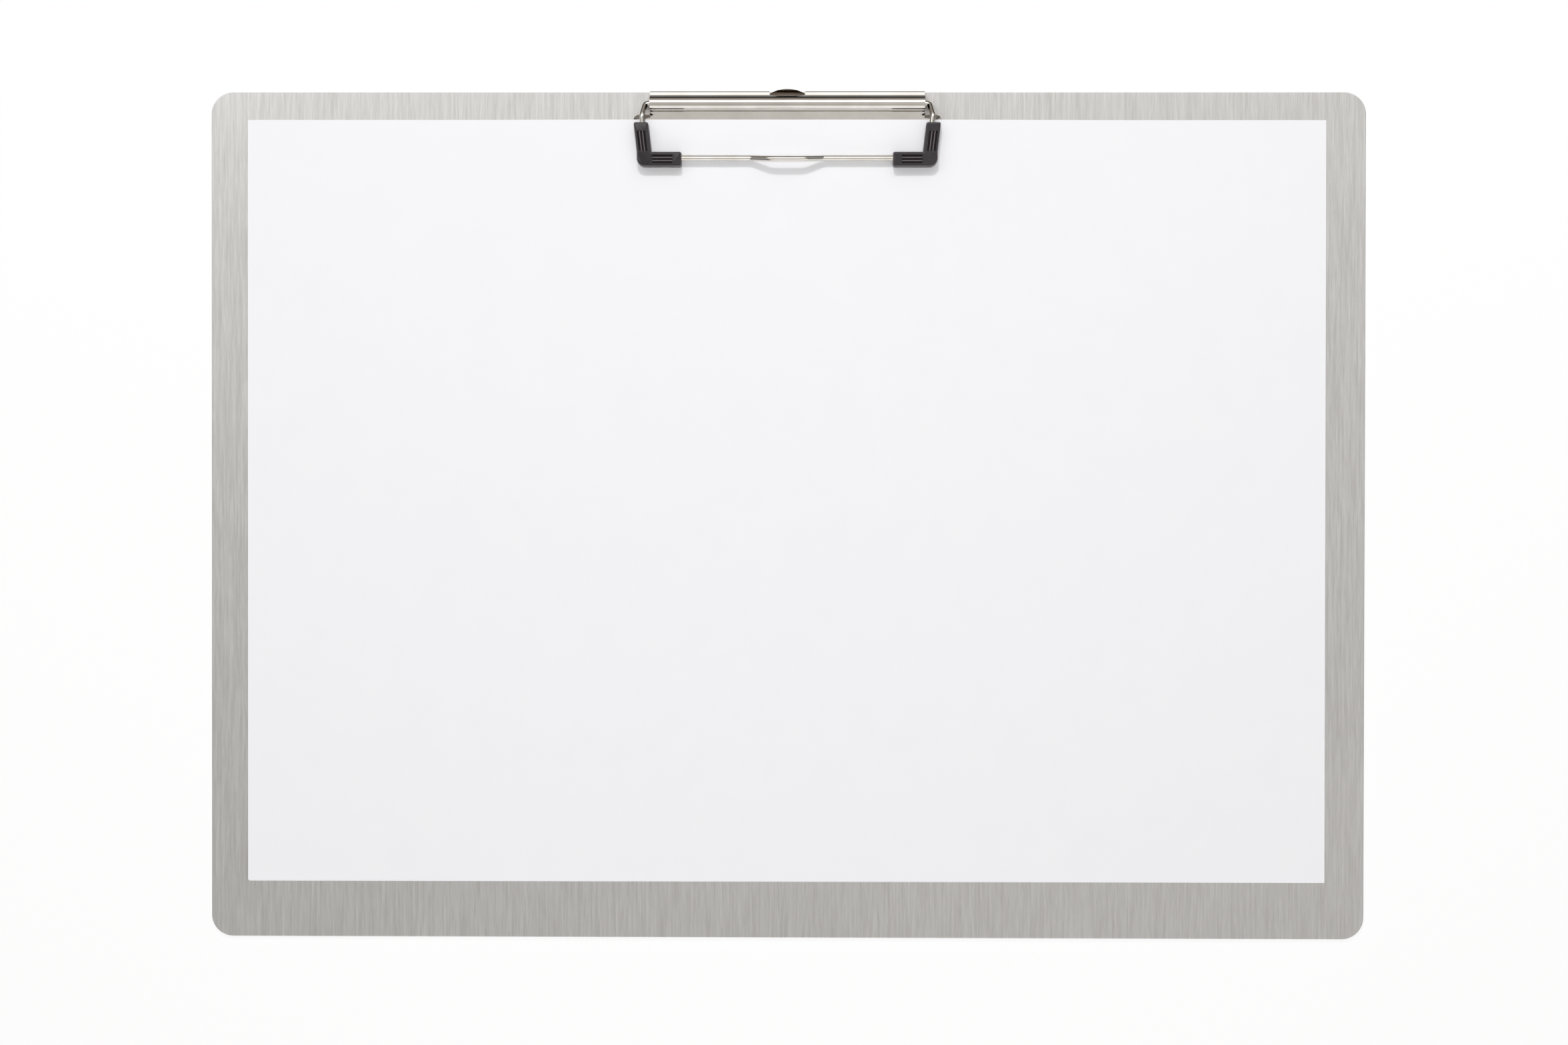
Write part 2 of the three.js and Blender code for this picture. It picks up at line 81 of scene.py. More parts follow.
# Rivets: shares of a radius, fit in the hole, and the crown's shares of the head's radius at
# heights in millimetres, which are above the seat for the crown and below its top for the shoulder
COUNTERSINK_SHARE = 1.54
TAIL_SHARE = 0.83
RIVET_FIT = 0.15 * MM
RIVET_CHAMFER = 0.08 * MM
RIVET_CROWN = ((1, 0.2), (0.96, 0.34), (0.86, 0.47), (0.7, 0.56))
CROWN_SHOULDER = (0.45, 0.03)
CROWN_FLAT = 0.2

# Wire: radii of its bends, room in the ridge, and where the bump's crest ends
CREST_BEND = 7 * MM
KINK_BEND = 3.2 * MM
CORNER_BEND = 2.6 * MM
KICK_BEND = 3 * MM
CRANK_BEND = 1.6 * MM
CRANK_ROOM = 0.3 * MM
CREST_SHARE = 0.23

# Sleeves: rounded ends, plain strip round each panel, room for the wire, and slack after a cut
END_ROUND = 0.8 * MM
PANEL_GAP = 0.25 * MM
PANEL_SLACK = 0.05 * MM
BORE_ROOM = 0.12 * MM
LOOSE = 1e-5

# Eyelet: how much thinner its sheet is, how far its lip runs into its tab, and its broken edges
EYELET_THINNER = 0.2 * MM
LIP_OVERLAP = 0.4 * MM
EYELET_BREAK = 0.1 * MM

# Paper: thickness, and how each sheet lies, as shifts in millimetres and a turn in degrees
SHEET_THICKNESS = 0.1 * MM
SHEET_SHIFTS = ((0.35, -0.25, 0.05), (0.15, 0.1, -0.03), (0.3, -0.15, 0.035), (0, 0, 0))

# Floor: size in metres, gap below the board, and the fade beyond the board's top edge to a dark painted
# reflection that only metal sees
FLOOR_SIZE = 8
FLOOR_GAP = 0.05 * MM
FLOOR_FADE = 8 * MM
FLOOR_WHITE = "#fbfbfb"
FLOOR_PAINTED_REFLECTION = "#2c2c2e"
FLOOR_GLOW = 0.8

# Room: how much green and blue its darker walls lose, and its darker patch at the lower left
GREEN_LOSS = 0.12
BLUE_LOSS = 0.25
CORNER_HEADING = (-0.32, -0.2, 0.93)
CORNER_REACH = (0.1, 0.45)
WHITE = (1, 1, 1, 1)

# Brightness of the studio by its angle from straight up, in degrees towards the top of the page
ROOM_BANDS = (
    (-110, 1.0),
    (-90, 0.73),
    (-75, 0.92),
    (-60, 1.0),
    (-45, 0.93),
    (-32, 0.46),
    (-20, 0.56),
    (-10, 0.63),
    (0, 0.62),
    (10, 0.62),
    (15, 0.72),
    (19, 2.2),
    (30, 2.2),
    (34, 1.3),
    (40, 1.25),
    (47, 0.55),
    (60, 0.36),
    (75, 0.18),
    (95, 0.15),
)

# Span that holds most values of a noise
NOISE_SPAN = (0.3, 0.7)


def linear(code):
    """The linear colour of an sRGB hex value, with full alpha."""
    shares = [int(code[start : start + 2], 16) / 255 for start in (1, 3, 5)]
    curved = [share / 12.92 if share <= 0.04045 else ((share + 0.055) / 1.055) ** 2.4 for share in shares]
    return (*curved, 1.0)


def length(name, description, millimetres):
    """A length that a user may change, given in millimetres and kept in metres."""
    default = millimetres * MM
    return FloatProperty(name=name, description=description, default=default, unit="LENGTH", precision=5)


def slant(name, description, degrees):
    """An angle that a user may change, given in degrees and kept in radians."""
    default = math.radians(degrees)
    return FloatProperty(name=name, description=description, default=default, subtype="ANGLE")


def amount(name, description, value):
    """A plain number that a user may change."""
    return FloatProperty(name=name, description=description, default=value)


def tint(name, description, code):
    """A colour that a user may change, given as an sRGB hex value."""
    return FloatVectorProperty(
        name=name, description=description, default=linear(code), size=4, subtype="COLOR", min=0, max=1
    )


class ClipboardBoard(bpy.types.PropertyGroup):
    """Sizes and colours of the aluminium board"""

    corner_radius: length("Corner radius", "Radius of the board's four corners", 8.5)
    edge_break: length("Edge break", "Radius that takes the burr off the sheared edges", 0.25)
    light: tint("Light", "Bright lines of the brushed and anodised sheet", "#e8e7e5")
    dark: tint("Dark", "Dull lines of the brushed and anodised sheet", "#d2d0cd")


class ClipboardClip(bpy.types.PropertyGroup):
    """Sizes and colours of the pressed base plate, the rivets and the eyelet"""

    gauge: length("Sheet gauge", "Thickness of the plated steel sheet", 0.7)
    ridge_length: length("Ridge length", "Length of the rolled ridge that holds the wire", 107)
    ridge_radius: length("Ridge radius", "Outer radius of the rolled ridge", 3)
    front_fillet: length("Front fillet", "Radius of the bend at the ridge's front foot", 0.45)
    back_fillet: length("Back fillet", "Radius of the bend at the ridge's back foot", 0.6)
    flank_width: length("Flank width", "Width of the sloping flank round the flange", 1.4)
    flank_spread: length("Flank spread", "How much wider the flank is at the shoulders", 0.6)
    strip_slope: slant("Strip slope", "Slope of the strip behind the ridge", 15)
    rim_radius: length("Rim radius", "Radius of the bend between the strip and the back rim", 0.6)
    corner_radius: length("Corner radius", "Radius of the flange's corners in plan", 2.1)
    shoulder_setback: length("Shoulder setback", "Room between the ridge's foot and the shoulders' edge", 1.1)
    seat_radius: length("Seat radius", "Radius of the pressed seat of each rivet", 4.3)
    hole_radius: length("Rivet hole radius", "Radius of the holes that the rivets pass", 2.05)
    notch_half: length("Notch half width", "Half the width of the notch for the eyelet's lip", 6.95)
    stop_length: length("Stop length", "Length of the eyelet's T-shaped stop along its slide", 2.2)
    neck_half: length("Neck half width", "Half the width of the eyelet's tab", 6.2)
    lip_half: length("Lip half width", "Half the width of the eyelet's lip", 6.65)
    lip_radius: length("Lip radius", "Radius at which the eyelet's lip curls up", 1.8)
    lip_bow: length("Lip bow", "How far the lip stands out more in its middle than at its ends", 1.4)
    hole: length("Eyelet hole radius", "Radius of the hole that hangs on a nail", 3.5)
    web: length("Eyelet web", "Metal left between the hole and the lip", 1.6)
    # Dark tints of the eyelet: painted shade, standing for the shade and dark reflections in the notch where the
    # lip stands
    eyelet_painted_shade: tint("Eyelet", "Dark nickel plate on the eyelet", "#5e5349")
    eyelet_painted_shade_dull: tint("Eyelet wear", "Handled dark nickel plate on the eyelet", "#4a4038")
    light: tint("Nickel", "Bright nickel plate on the pressed sheet", "#d4d0ca")
    dull: tint("Nickel wear", "Handled nickel plate on the pressed sheet", "#c9c5be")


class ClipboardBail(bpy.types.PropertyGroup):
    """Sizes and colours of the wire bail"""

    diameter: length("Wire diameter", "Diameter of the drawn spring wire", 2.2)
    leg_foot: length("Leg foot", "Distance of a leg from the middle at the cross wire", 54.85)
    leg_top: length("Leg top", "Distance of a leg from the middle at the kick", 56.5)
    exit_lean: length("Exit lean", "How far a leg leans in between the kick and the ridge", 1.2)
    exit_radius: length("Exit radius", "Radius of the bend where the wire leaves the ridge", 1.4)
    kick_setback: length("Kick setback", "Distance of the kick from the sleeve's end", 3)
    leg_height: length("Leg height", "Height of the legs above the board's back", 7.4)
    shaft_length: length("Shaft length", "Straight length of wire inside each end of the ridge", 18)
    crank_length: length("Crank length", "Length of the cranked end that loads the spring", 9)
    bump_width: length("Bump width", "Width of the raised middle of the cross wire", 28)
    bump_rise: length("Bump rise", "Height of the raised middle above the cross wire", 3.97)
    bump_bow: length("Bump bow", "How far the raised middle leans down the page", 0.65)
    light: tint("Nickel", "Bright nickel plate on the drawn wire", "#dcd9d3")
    dull: tint("Nickel wear", "Nickel plate in the drawing lines of the wire", "#cbc6be")


class ClipboardSleeve(bpy.types.PropertyGroup):
    """Sizes and colours of the moulded corner sleeves"""

    width: length("Width", "Width of both limbs of a sleeve", 5.7)
    leg_length: length("Leg length", "Length of the limb on the wire's leg, from the arm's axis", 14.3)
    arm_length: length("Arm length", "Length of the limb on the cross wire, from the leg's axis", 14.45)
    shift: length("Shift", "How far the sleeve stands outside the wire that it holds", 0.6)
    elbow_radius: length("Elbow radius", "Radius of the elbow's outer corner", 3.1)
    edge_radius: length("Edge radius", "Radius of the long edges", 1.15)
    collar: length("Collar", "Length of the plain collar at each end", 3.4)
    panel_half: length("Panel half width", "Half the width of the sunk panel on each limb", 1.65)
    panel_depth: length("Panel depth", "How far the ribbed panel lies below the collar", 0.2)
    groove_width: length("Groove width", "Width of the grooves between the ribs", 0.75)
    groove_pitch: length("Groove pitch", "Distance from one groove to the next", 1.2)
    groove_depth: length("Groove depth", "Depth of the grooves between the ribs", 0.5)
    lip_radius: length("Lip radius", "Radius of the grooves' edges", 0.06)
    colour: tint("Plastic", "Charcoal of the moulded plastic", "#171215")
    # Lighter stipple tops: rubbing wear, and painted sparkle and sheen on the raised parts
    wear_and_sparkle_tint: tint("Rubbed plastic", "Lighter tops of the moulded stipple", "#332b30")
    # Paler rib crests: a painted highlight for the light that the rounded rib tops catch
    rib_crest_highlight: tint("Rib crests", "Rubbed crests of the ribs", "#5c5357")


class ClipboardPaper(bpy.types.PropertyGroup):
    """Sizes and colours of the sheets under the bail"""

    count: IntProperty(name="Sheets", description="Number of sheets under the bail", default=4, min=1, max=4)
    cell: length("Cell", "Size of the faces that a sheet is made of", 3)
    ramp: length("Fall down the page", "Length over which the sheets sink from the plate to the board", 29)
    flank: length("Fall across the page", "Length over which the sheets sink beside the plate", 75)
    margin: length("Flat margin", "How far the sheets stay flat beyond the plate", 2.5)
    white: tint("Paper", "White of uncoated copy paper", "#f3f3f5")
    shade: tint("Paper shade", "Slightly cooler clouds in the sheet", "#f2f2f5")


class ClipboardStage(bpy.types.PropertyGroup):
    """Camera, light and floor"""

    lens: FloatProperty(
        name="Lens", description="Focal length of the camera", default=70, subtype="DISTANCE_CAMERA"
    )
    camera_place: FloatVectorProperty(
        name="Camera place",
        description="Where the camera stands",
        default=(0.01437, 0.00995, 1.19178),
        subtype="TRANSLATION",
    )
    camera_turn: FloatVectorProperty(
        name="Camera turn",
        description="How the camera is turned from straight down",
        default=tuple(math.radians(angle) for angle in (-0.605, 0.746, 0.081)),
        subtype="EULER",
    )
    key_power: amount("Key light", "Power of the key lamp, in watts", 2.85)
    key_tilt: slant("Key tilt", "Height of the key lamp above the horizon", 61.5)
    key_distance: length("Key distance", "Distance of the key lamp from the clip", 1000)
    key_aside: length("Key aside", "How far the key lamp stands to the left", 50)
    key_width: length("Key width", "Width of the key lamp", 110)
    key_height: length("Key height", "Height of the key lamp's face", 60)
    fill_power: amount("Fill light", "Power of the lamp above the camera, in watts", 11.3)
    fill_height: length("Fill height", "Height of the fill lamp above the board", 2000)
    fill_back: length("Fill setback", "How far down the page the fill lamp hangs", 80)
    fill_size: length("Fill size", "Size of the fill lamp", 400)
    room_strength: amount("Room light", "Brightness of the studio's walls", 1.335)
    matt_share: amount("Matt share", "Share of the walls' light on matt surfaces", 0.6)
    room_turn: slant("Room turn", "Turn of the studio round the object", -15)
    side_start: amount("Side start", "Lean to the side at which the walls darken", 0.43)
    side_end: amount("Side end", "Lean to the side at which the walls are dark", 0.73)
    side_dim: amount("Side light", "Share of light left at the sides", 0.28)
    corner_light: amount("Corner light", "Share of light from the room's lower left", 0.54)


# Helpers that hold what is done again and again by hand


def add_node(tree, kind, inputs=None, **settings):
    """Adds a shader node with its settings, its values and its links."""
    node = tree.nodes.new(f"ShaderNode{kind}")
    for name, value in settings.items():
        setattr(node, name, value)
    for socket, value in (inputs or {}).items():
        if isinstance(value, bpy.types.NodeSocket):
            tree.links.new(value, node.inputs[socket])
        else:
            node.inputs[socket].default_value = value
    return node


def new_material(name):
    """An empty node material with its output, and the object's own coordinates."""
    material = bpy.data.materials.new(name)
    material.use_nodes = True
    tree = material.node_tree
    tree.nodes.clear()
    output = add_node(tree, "OutputMaterial")
    place = add_node(tree, "TexCoord").outputs["Object"]
    return material, tree, output, place


def grain(tree, place, sizes, detail=2.0, roughness=0.5):
    """Noise whose features have the given sizes in metres along X, Y and Z."""
    scale = tuple(1 / size for size in sizes)
    mapping = add_node(tree, "Mapping", {"Vector": place, "Scale": scale})
    inputs = {"Vector": mapping.outputs["Vector"], "Scale": 1.0, "Detail": detail, "Roughness": roughness}
    return add_node(tree, "TexNoise", inputs).outputs["Fac"]


def between(value, start, end, low=0.0, high=1.0):
    """The inputs that carry a value from one range over to another."""
    return {"Value": value, "From Min": start, "From Max": end, "To Min": low, "To Max": high}


def tinted(tree, value, span, first, second):
    """A colour that goes from one tint to another while a value crosses a span."""
    share = add_node(tree, "MapRange", between(value, *span)).outputs["Result"]
    # Sockets 6 and 7 of this node are its two colours, and output 2 is the mixed one
    mix = add_node(tree, "Mix", {0: share, 6: first, 7: second}, data_type="RGBA")
    return mix.outputs[2]


def deselect_all():
    """Leaves edit mode and clears the selection, so that an operator acts on the new piece alone."""
    if bpy.context.object and bpy.context.object.mode != "OBJECT":
        bpy.ops.object.mode_set(mode="OBJECT")
    bpy.ops.object.select_all(action="DESELECT")


def make_active(piece):
    """Selects one piece and nothing else."""
    deselect_all()
    piece.select_set(True)
    bpy.context.view_layer.objects.active = piece


def settle(name):
    """Names the primitive that was just added and carries its place and size into its mesh."""
    piece = bpy.context.active_object
    piece.name = name
    piece.data.name = name
    bpy.ops.object.transform_apply(location=True, rotation=True, scale=True)
    return piece


def add_box(name, low, high):
    """A box between two corners."""
    deselect_all()
    low, high = Vector(low), Vector(high)
    bpy.ops.mesh.primitive_cube_add(size=1, location=(low + high) / 2, scale=high - low)
    return settle(name)


def add_plate(name, low, high, height):
    """A flat face between two corners in plan."""
    deselect_all()
    centre = ((low[0] + high[0]) / 2, (low[1] + high[1]) / 2, height)
    bpy.ops.mesh.primitive_plane_add(size=1, location=centre)
    bpy.context.active_object.scale = (high[0] - low[0], high[1] - low[1], 1)
    return settle(name)


def add_round(name, place, steps, vertices=64):
    """A turned piece: a disc that is extruded and resized from one (radius, height) step to the next."""
    deselect_all()
    radius, height = steps[0]
    bpy.ops.mesh.primitive_circle_add(
        vertices=vertices, radius=radius, fill_type="NGON", location=(place[0], place[1], height)
    )
    piece = settle(name)
    bpy.ops.object.mode_set(mode="EDIT")
    bpy.ops.mesh.select_all(action="SELECT")
    for next_radius, next_height in steps[1:]:
        bpy.ops.mesh.extrude_region_move(TRANSFORM_OT_translate={"value": (0, 0, next_height - height)})
        share = next_radius / radius
        centre = (place[0], place[1], next_height)
        if share != 1:
            bpy.ops.transform.resize(value=(share, share, 1), center_override=centre)
        radius, height = next_radius, next_height
    bpy.ops.mesh.select_all(action="SELECT")
    bpy.ops.mesh.normals_make_consistent(inside=False)
    bpy.ops.object.mode_set(mode="OBJECT")
    return piece


def pick(piece, kind, test):
    """Selects, in edit mode, the vertices, edges or faces that pass a test of their place or normal."""
    bpy.ops.mesh.select_mode(type=kind)
    bpy.ops.mesh.select_all(action="DESELECT")
    form = bmesh.from_edit_mesh(piece.data)
    elements = {"VERT": form.verts, "EDGE": form.edges, "FACE": form.faces}[kind]
    found = [element for element in elements if test(element)]
    if not found:
        raise RuntimeError(f"{piece.name}: nothing was selected for an edit")
    for element in found:
        element.select_set(True)
    form.select_flush_mode()
    bmesh.update_edit_mesh(piece.data)


def at(value, target, slack=1e-6):
    """True where two lengths are the same."""
    return abs(value - target) < slack


def both(edge, test):
    """True where both ends of an edge pass a test."""
    return all(test(vertex.co) for vertex in edge.verts)


def level(edge, height, slack=1e-6):
    """True for an edge that lies at a height."""
    return all(at(vertex.co.z, height, slack) for vertex in edge.verts)


def upright(edge):
    """True for an edge that runs along Z alone."""
    first, second = (vertex.co for vertex in edge.verts)
    return at(first.x, second.x) and at(first.y, second.y) and not at(first.z, second.z)


def round_edges(radius, segments):
    """Rounds the selected edges."""
    bpy.ops.mesh.bevel(offset=radius, segments=segments, affect="EDGES", clamp_overlap=True)


def apply_modifier(piece, kind, **settings):
    """Adds one modifier and applies it."""
    make_active(piece)
    modifier = piece.modifiers.new(kind.title(), kind)
    for name, value in settings.items():
        setattr(modifier, name, value)
    bpy.ops.object.modifier_apply(modifier=modifier.name)


def combine(piece, tool, operation):
    """Cuts a piece with a tool, or joins the two, and takes the tool away."""
    apply_modifier(piece, "BOOLEAN", object=tool, operation=operation, solver="EXACT")
    bpy.data.objects.remove(tool)


def finish_mesh(piece, angle, merge=0.002 * MM):
    """Merges doubles and smooths the shading over gentle bends; flat faces keep their own normals."""
    make_active(piece)
    bpy.ops.object.mode_set(mode="EDIT")
    bpy.ops.mesh.select_mode(type="VERT")
    bpy.ops.mesh.select_all(action="SELECT")
    bpy.ops.mesh.remove_doubles(threshold=merge)
    bpy.ops.mesh.dissolve_degenerate(threshold=merge)
    bpy.ops.object.mode_set(mode="OBJECT")
    bpy.ops.object.shade_smooth_by_angle(angle=math.radians(angle))
    apply_modifier(piece, "WEIGHTED_NORMAL", mode="FACE_AREA", weight=100, keep_sharp=True)


def dress(piece, material, body, slot, *nodes):
    """Gives a finished piece its material and its body, and lets it stand for its CAD nodes."""
    piece.data.materials.clear()
    piece.data.materials.append(material)
    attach(piece, body)
    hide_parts(*nodes)


def rounded_run(corners, radii, steps):
    """Points along a chain of corners, each rounded with its own radius."""
    run = [corners[0].copy()]
    for index in range(1, len(corners) - 1):
        corner = corners[index]
        back = (corners[index - 1] - corner).normalized()
        ahead = (corners[index + 1] - corner).normalized()
        half_angle = back.angle(ahead) / 2
        radius = radii[index]
        centre = corner + (back + ahead).normalized() * (radius / math.sin(half_angle))
        start = corner + back * (radius / math.tan(half_angle)) - centre
        end = corner + ahead * (radius / math.tan(half_angle)) - centre
        turn = start.angle(end)
        for step in range(steps + 1):
            share = step / steps
            first = math.sin((1 - share) * turn) / math.sin(turn)
            second = math.sin(share * turn) / math.sin(turn)
            run.append(centre + start * first + end * second)
    run.append(corners[-1].copy())
    return run


def add_rod(name, run, radius, resolution=6):
    """A round rod along a run of points, made as a curve and turned into a mesh."""
    deselect_all()
    curve = bpy.data.curves.new(name, "CURVE")
    curve.dimensions = "3D"
    curve.bevel_depth = radius
    curve.bevel_resolution = resolution
    curve.use_fill_caps = True
    spline = curve.splines.new("POLY")
    spline.points.add(len(run) - 1)
    for point, place in zip(spline.points, run):
        point.co = (*place, 1)
    rod = bpy.data.objects.new(name, curve)
    bpy.context.scene.collection.objects.link(rod)
    make_active(rod)
    bpy.ops.object.convert(target="MESH")
    return bpy.context.active_object


def arc(centre, radius, start, end, steps):
    """Points of an arc in the plane of Y and Z, without its first point."""
    angles = [math.radians(start + (end - start) * step / steps) for step in range(1, steps + 1)]
    return [(centre[0] + radius * math.cos(angle), centre[1] + radius * math.sin(angle)) for angle in angles]


def extrude_along(start, outline):
    """Extrudes the selected edges from a start through the points of a section in Y and Z."""
    here = start
    for there in outline:
        step = (0, there[0] - here[0], there[1] - here[1])
        bpy.ops.mesh.extrude_region_move(TRANSFORM_OT_translate={"value": step})
        here = there


# Finishes, each named for the real material and how its surface was made


def brushed_aluminium(sizes):
    """Anodised aluminium sheet brushed up the page: dull streaks a few millimetres long, and a soft
    sheen that is wide across the brushing and narrow along it."""
    material, tree, output, place = new_material("aluminium_sheet_brushed_anodised")
    # The real grit line is about 0.1 mm wide; it is drawn 0.55 mm wide so that it shows in the render
    lines = grain(tree, place, (0.55 * MM, 9 * MM, 0.55 * MM), 3.0, 0.6)
    streaks = grain(tree, place, (1.1 * MM, 30 * MM, 1.1 * MM))
    clouds = grain(tree, place, (70 * MM, 90 * MM, 70 * MM), 1.0)
    mixed = add_node(tree, "Math", {0: lines, 1: streaks}, operation="ADD").outputs[0]
    span = (0.7, 1.3)
    colour = tinted(tree, mixed, span, sizes.dark, sizes.light)
    rough = add_node(tree, "MapRange", between(mixed, *span, 0.365, 0.425))
    cloudy = add_node(tree, "MapRange", between(clouds, *NOISE_SPAN, -0.02, 0.02))
    inputs = {0: rough.outputs["Result"], 1: cloudy.outputs["Result"]}
    roughness = add_node(tree, "Math", inputs, operation="ADD").outputs[0]
    bump = add_node(tree, "Bump", {"Height": lines, "Strength": 0.35, "Distance": 0.012 * MM})
    tangent = add_node(tree, "Tangent", direction_type="UV_MAP", uv_map="brushing")
    inputs = {"Base Color": colour, "Metallic": 1.0, "Roughness": roughness, "Anisotropic": 0.77}
    inputs |= {"Tangent": tangent.outputs["Tangent"], "Normal": bump.outputs["Normal"]}
    shader = add_node(tree, "BsdfPrincipled", inputs)
    tree.links.new(shader.outputs["BSDF"], output.inputs["Surface"])
    return material


def plated_nickel(name, light, dull, streak_sizes, roughness):
    """Bright nickel plate: a mirror with a warm tint, broken by faint lines of the metal under it and
    by slightly duller handled patches."""
    material, tree, output, place = new_material(name)
    lines = grain(tree, place, streak_sizes, 3.0, 0.6)
    patches = grain(tree, place, (9 * MM,) * 3, 3.0)
    colour = tinted(tree, patches, NOISE_SPAN, light, dull)
    inputs = between(lines, *NOISE_SPAN, roughness * 0.75, roughness * 1.5)
    rough = add_node(tree, "MapRange", inputs).outputs["Result"]
    bump = add_node(tree, "Bump", {"Height": lines, "Strength": 0.12, "Distance": 0.006 * MM})
    inputs = {"Base Color": colour, "Metallic": 1.0, "Roughness": rough, "Normal": bump.outputs["Normal"]}
    shader = add_node(tree, "BsdfPrincipled", inputs)
    tree.links.new(shader.outputs["BSDF"], output.inputs["Surface"])
    return material


def stippled_plastic(sizes):
    """Black moulded vinyl with a spark-eroded stipple. The stipple's tops are tinted a lighter grey, which
    stands for rubbing wear and for painted sparkle and sheen; the rib crests are tinted paler as a painted
    highlight; the grooves keep the dark base colour and a low specular level, as painted shade."""
    material, tree, output, place = new_material("vinyl_moulded_stippled")
    # The stipple is about 0.15 mm; it is drawn at 0.28 mm so that it shows in the render
    stipple = grain(tree, place, (0.28 * MM,) * 3, 2.0, 0.65)
    patches = grain(tree, place, (3.5 * MM,) * 3)
    height = add_node(tree, "SeparateXYZ", {"Vector": place}).outputs["Z"]
    ribs = SLEEVE_HIGH.z - sizes.panel_depth
    # Height mask: 1 on the rib tops and above, 0 in the grooves, which it keeps dark as painted shade
    inputs = between(height, ribs - sizes.groove_depth * 0.8, ribs - sizes.groove_depth * 0.1)
    raised = add_node(tree, "MapRange", inputs).outputs["Result"]
    tops = add_node(tree, "MapRange", between(stipple, 0.52, 0.72)).outputs["Result"]
    # Lighter stipple tops only on raised parts: rubbing wear plus painted sparkle, with painted shade left in
    # the grooves
    stipple_wear_and_sparkle = add_node(tree, "Math", {0: tops, 1: raised}, operation="MULTIPLY").outputs[0]
    wear_and_sparkle_tint = tinted(tree, stipple_wear_and_sparkle, (0, 1), sizes.colour, sizes.wear_and_sparkle_tint)
    inputs = between(height, ribs + 0.05 * MM, ribs + 0.15 * MM, 1.0, 0.0)
    below_top = add_node(tree, "MapRange", inputs).outputs["Result"]
    # Painted highlight: the rib tops inside the panels get the paler crest tint
    rib_crest_highlight = add_node(tree, "Math", {0: raised, 1: below_top}, operation="MULTIPLY").outputs[0]
    colour = tinted(tree, rib_crest_highlight, (0, 1), wear_and_sparkle_tint, sizes.rib_crest_highlight)
    rough = add_node(tree, "MapRange", between(patches, *NOISE_SPAN, 0.2, 0.3))
    # Specular level falls from the tops into the grooves: painted shade that keeps the grooves dark
    sheen = add_node(tree, "MapRange", between(raised, 0.0, 1.0, 0.15, 0.6))
    bump = add_node(tree, "Bump", {"Height": stipple, "Strength": 0.45, "Distance": 0.05 * MM})
    inputs = {"Base Color": colour, "Roughness": rough.outputs["Result"], "IOR": 1.5}
    inputs |= {"Specular IOR Level": sheen.outputs["Result"], "Normal": bump.outputs["Normal"]}
    shader = add_node(tree, "BsdfPrincipled", inputs)
    tree.links.new(shader.outputs["BSDF"], output.inputs["Surface"])
    return material


def copy_paper(sizes):
    """Uncoated copy paper: bright and matt, with a faint cloudy formation and a fine felt of fibres."""
    material, tree, output, place = new_material("copy_paper_uncoated")
    clouds = grain(tree, place, (14 * MM,) * 3, 3.0)
    # Fibres are about 0.03 mm wide; their felt is drawn at 0.5 mm so that it shows at all
    felt = grain(tree, place, (0.5 * MM, 0.9 * MM, 0.5 * MM), 3.0, 0.6)
    colour = tinted(tree, clouds, NOISE_SPAN, sizes.white, sizes.shade)
    bump = add_node(tree, "Bump", {"Height": felt, "Strength": 0.08, "Distance": 0.02 * MM})
    inputs = {"Base Color": colour, "Roughness": 0.88, "IOR": 1.5, "Specular IOR Level": 0.25}
    shader = add_node(tree, "BsdfPrincipled", inputs | {"Normal": bump.outputs["Normal"]})
    tree.links.new(shader.outputs["BSDF"], output.inputs["Surface"])
    return material


def lay_brushing(piece):
    """A UV map whose U runs across the board, so that the sheen follows the brushing."""
    layer = piece.data.uv_layers.new(name="brushing")
    width = BOARD_HIGH.x - BOARD_LOW.x
    for loop in piece.data.loops:
        place = piece.data.vertices[loop.vertex_index].co
        layer.data[loop.index].uv = (place.x / width + 0.5, place.y / width + 0.5)


def rivet_places():
    """Plan places of the two rivets."""
    right = (RIVET_LOW + RIVET_HIGH) / 2
    return [(-right.x, right.y), (right.x, right.y)]


def break_rim(board, height, radius):
    """Takes the burr off all edges at one of the board's faces."""
    pick(board, "EDGE", lambda edge: level(edge, height))
    round_edges(radius, 3)


class CLIPBOARD_OT_board(bpy.types.Operator):
    """Model the aluminium board"""

    bl_idname = "clipboard.board"
    bl_label = "Board"

    def execute(self, context):
        sizes = context.scene.clipboard_board
        board = add_box("board", BOARD_LOW, BOARD_HIGH)
        bpy.ops.object.mode_set(mode="EDIT")
        pick(board, "EDGE", upright)
        round_edges(sizes.corner_radius, 24)
        for height in (BOARD_LOW.z, BOARD_HIGH.z):
            break_rim(board, height, sizes.edge_break)
        deselect_all()
        hole = context.scene.clipboard_clip.hole_radius
        mouth = hole * COUNTERSINK_SHARE
        for place in rivet_places():
            steps = [(mouth, -MM), (mouth, 0), (hole, MM), (hole, 4 * MM)]
            combine(board, add_round("rivet_hole", place, steps), "DIFFERENCE")
        finish_mesh(board, 35)
        lay_brushing(board)
        dress(board, brushed_aluminium(sizes), "board", "board_aluminium", "board_panel")
        return {"FINISHED"}


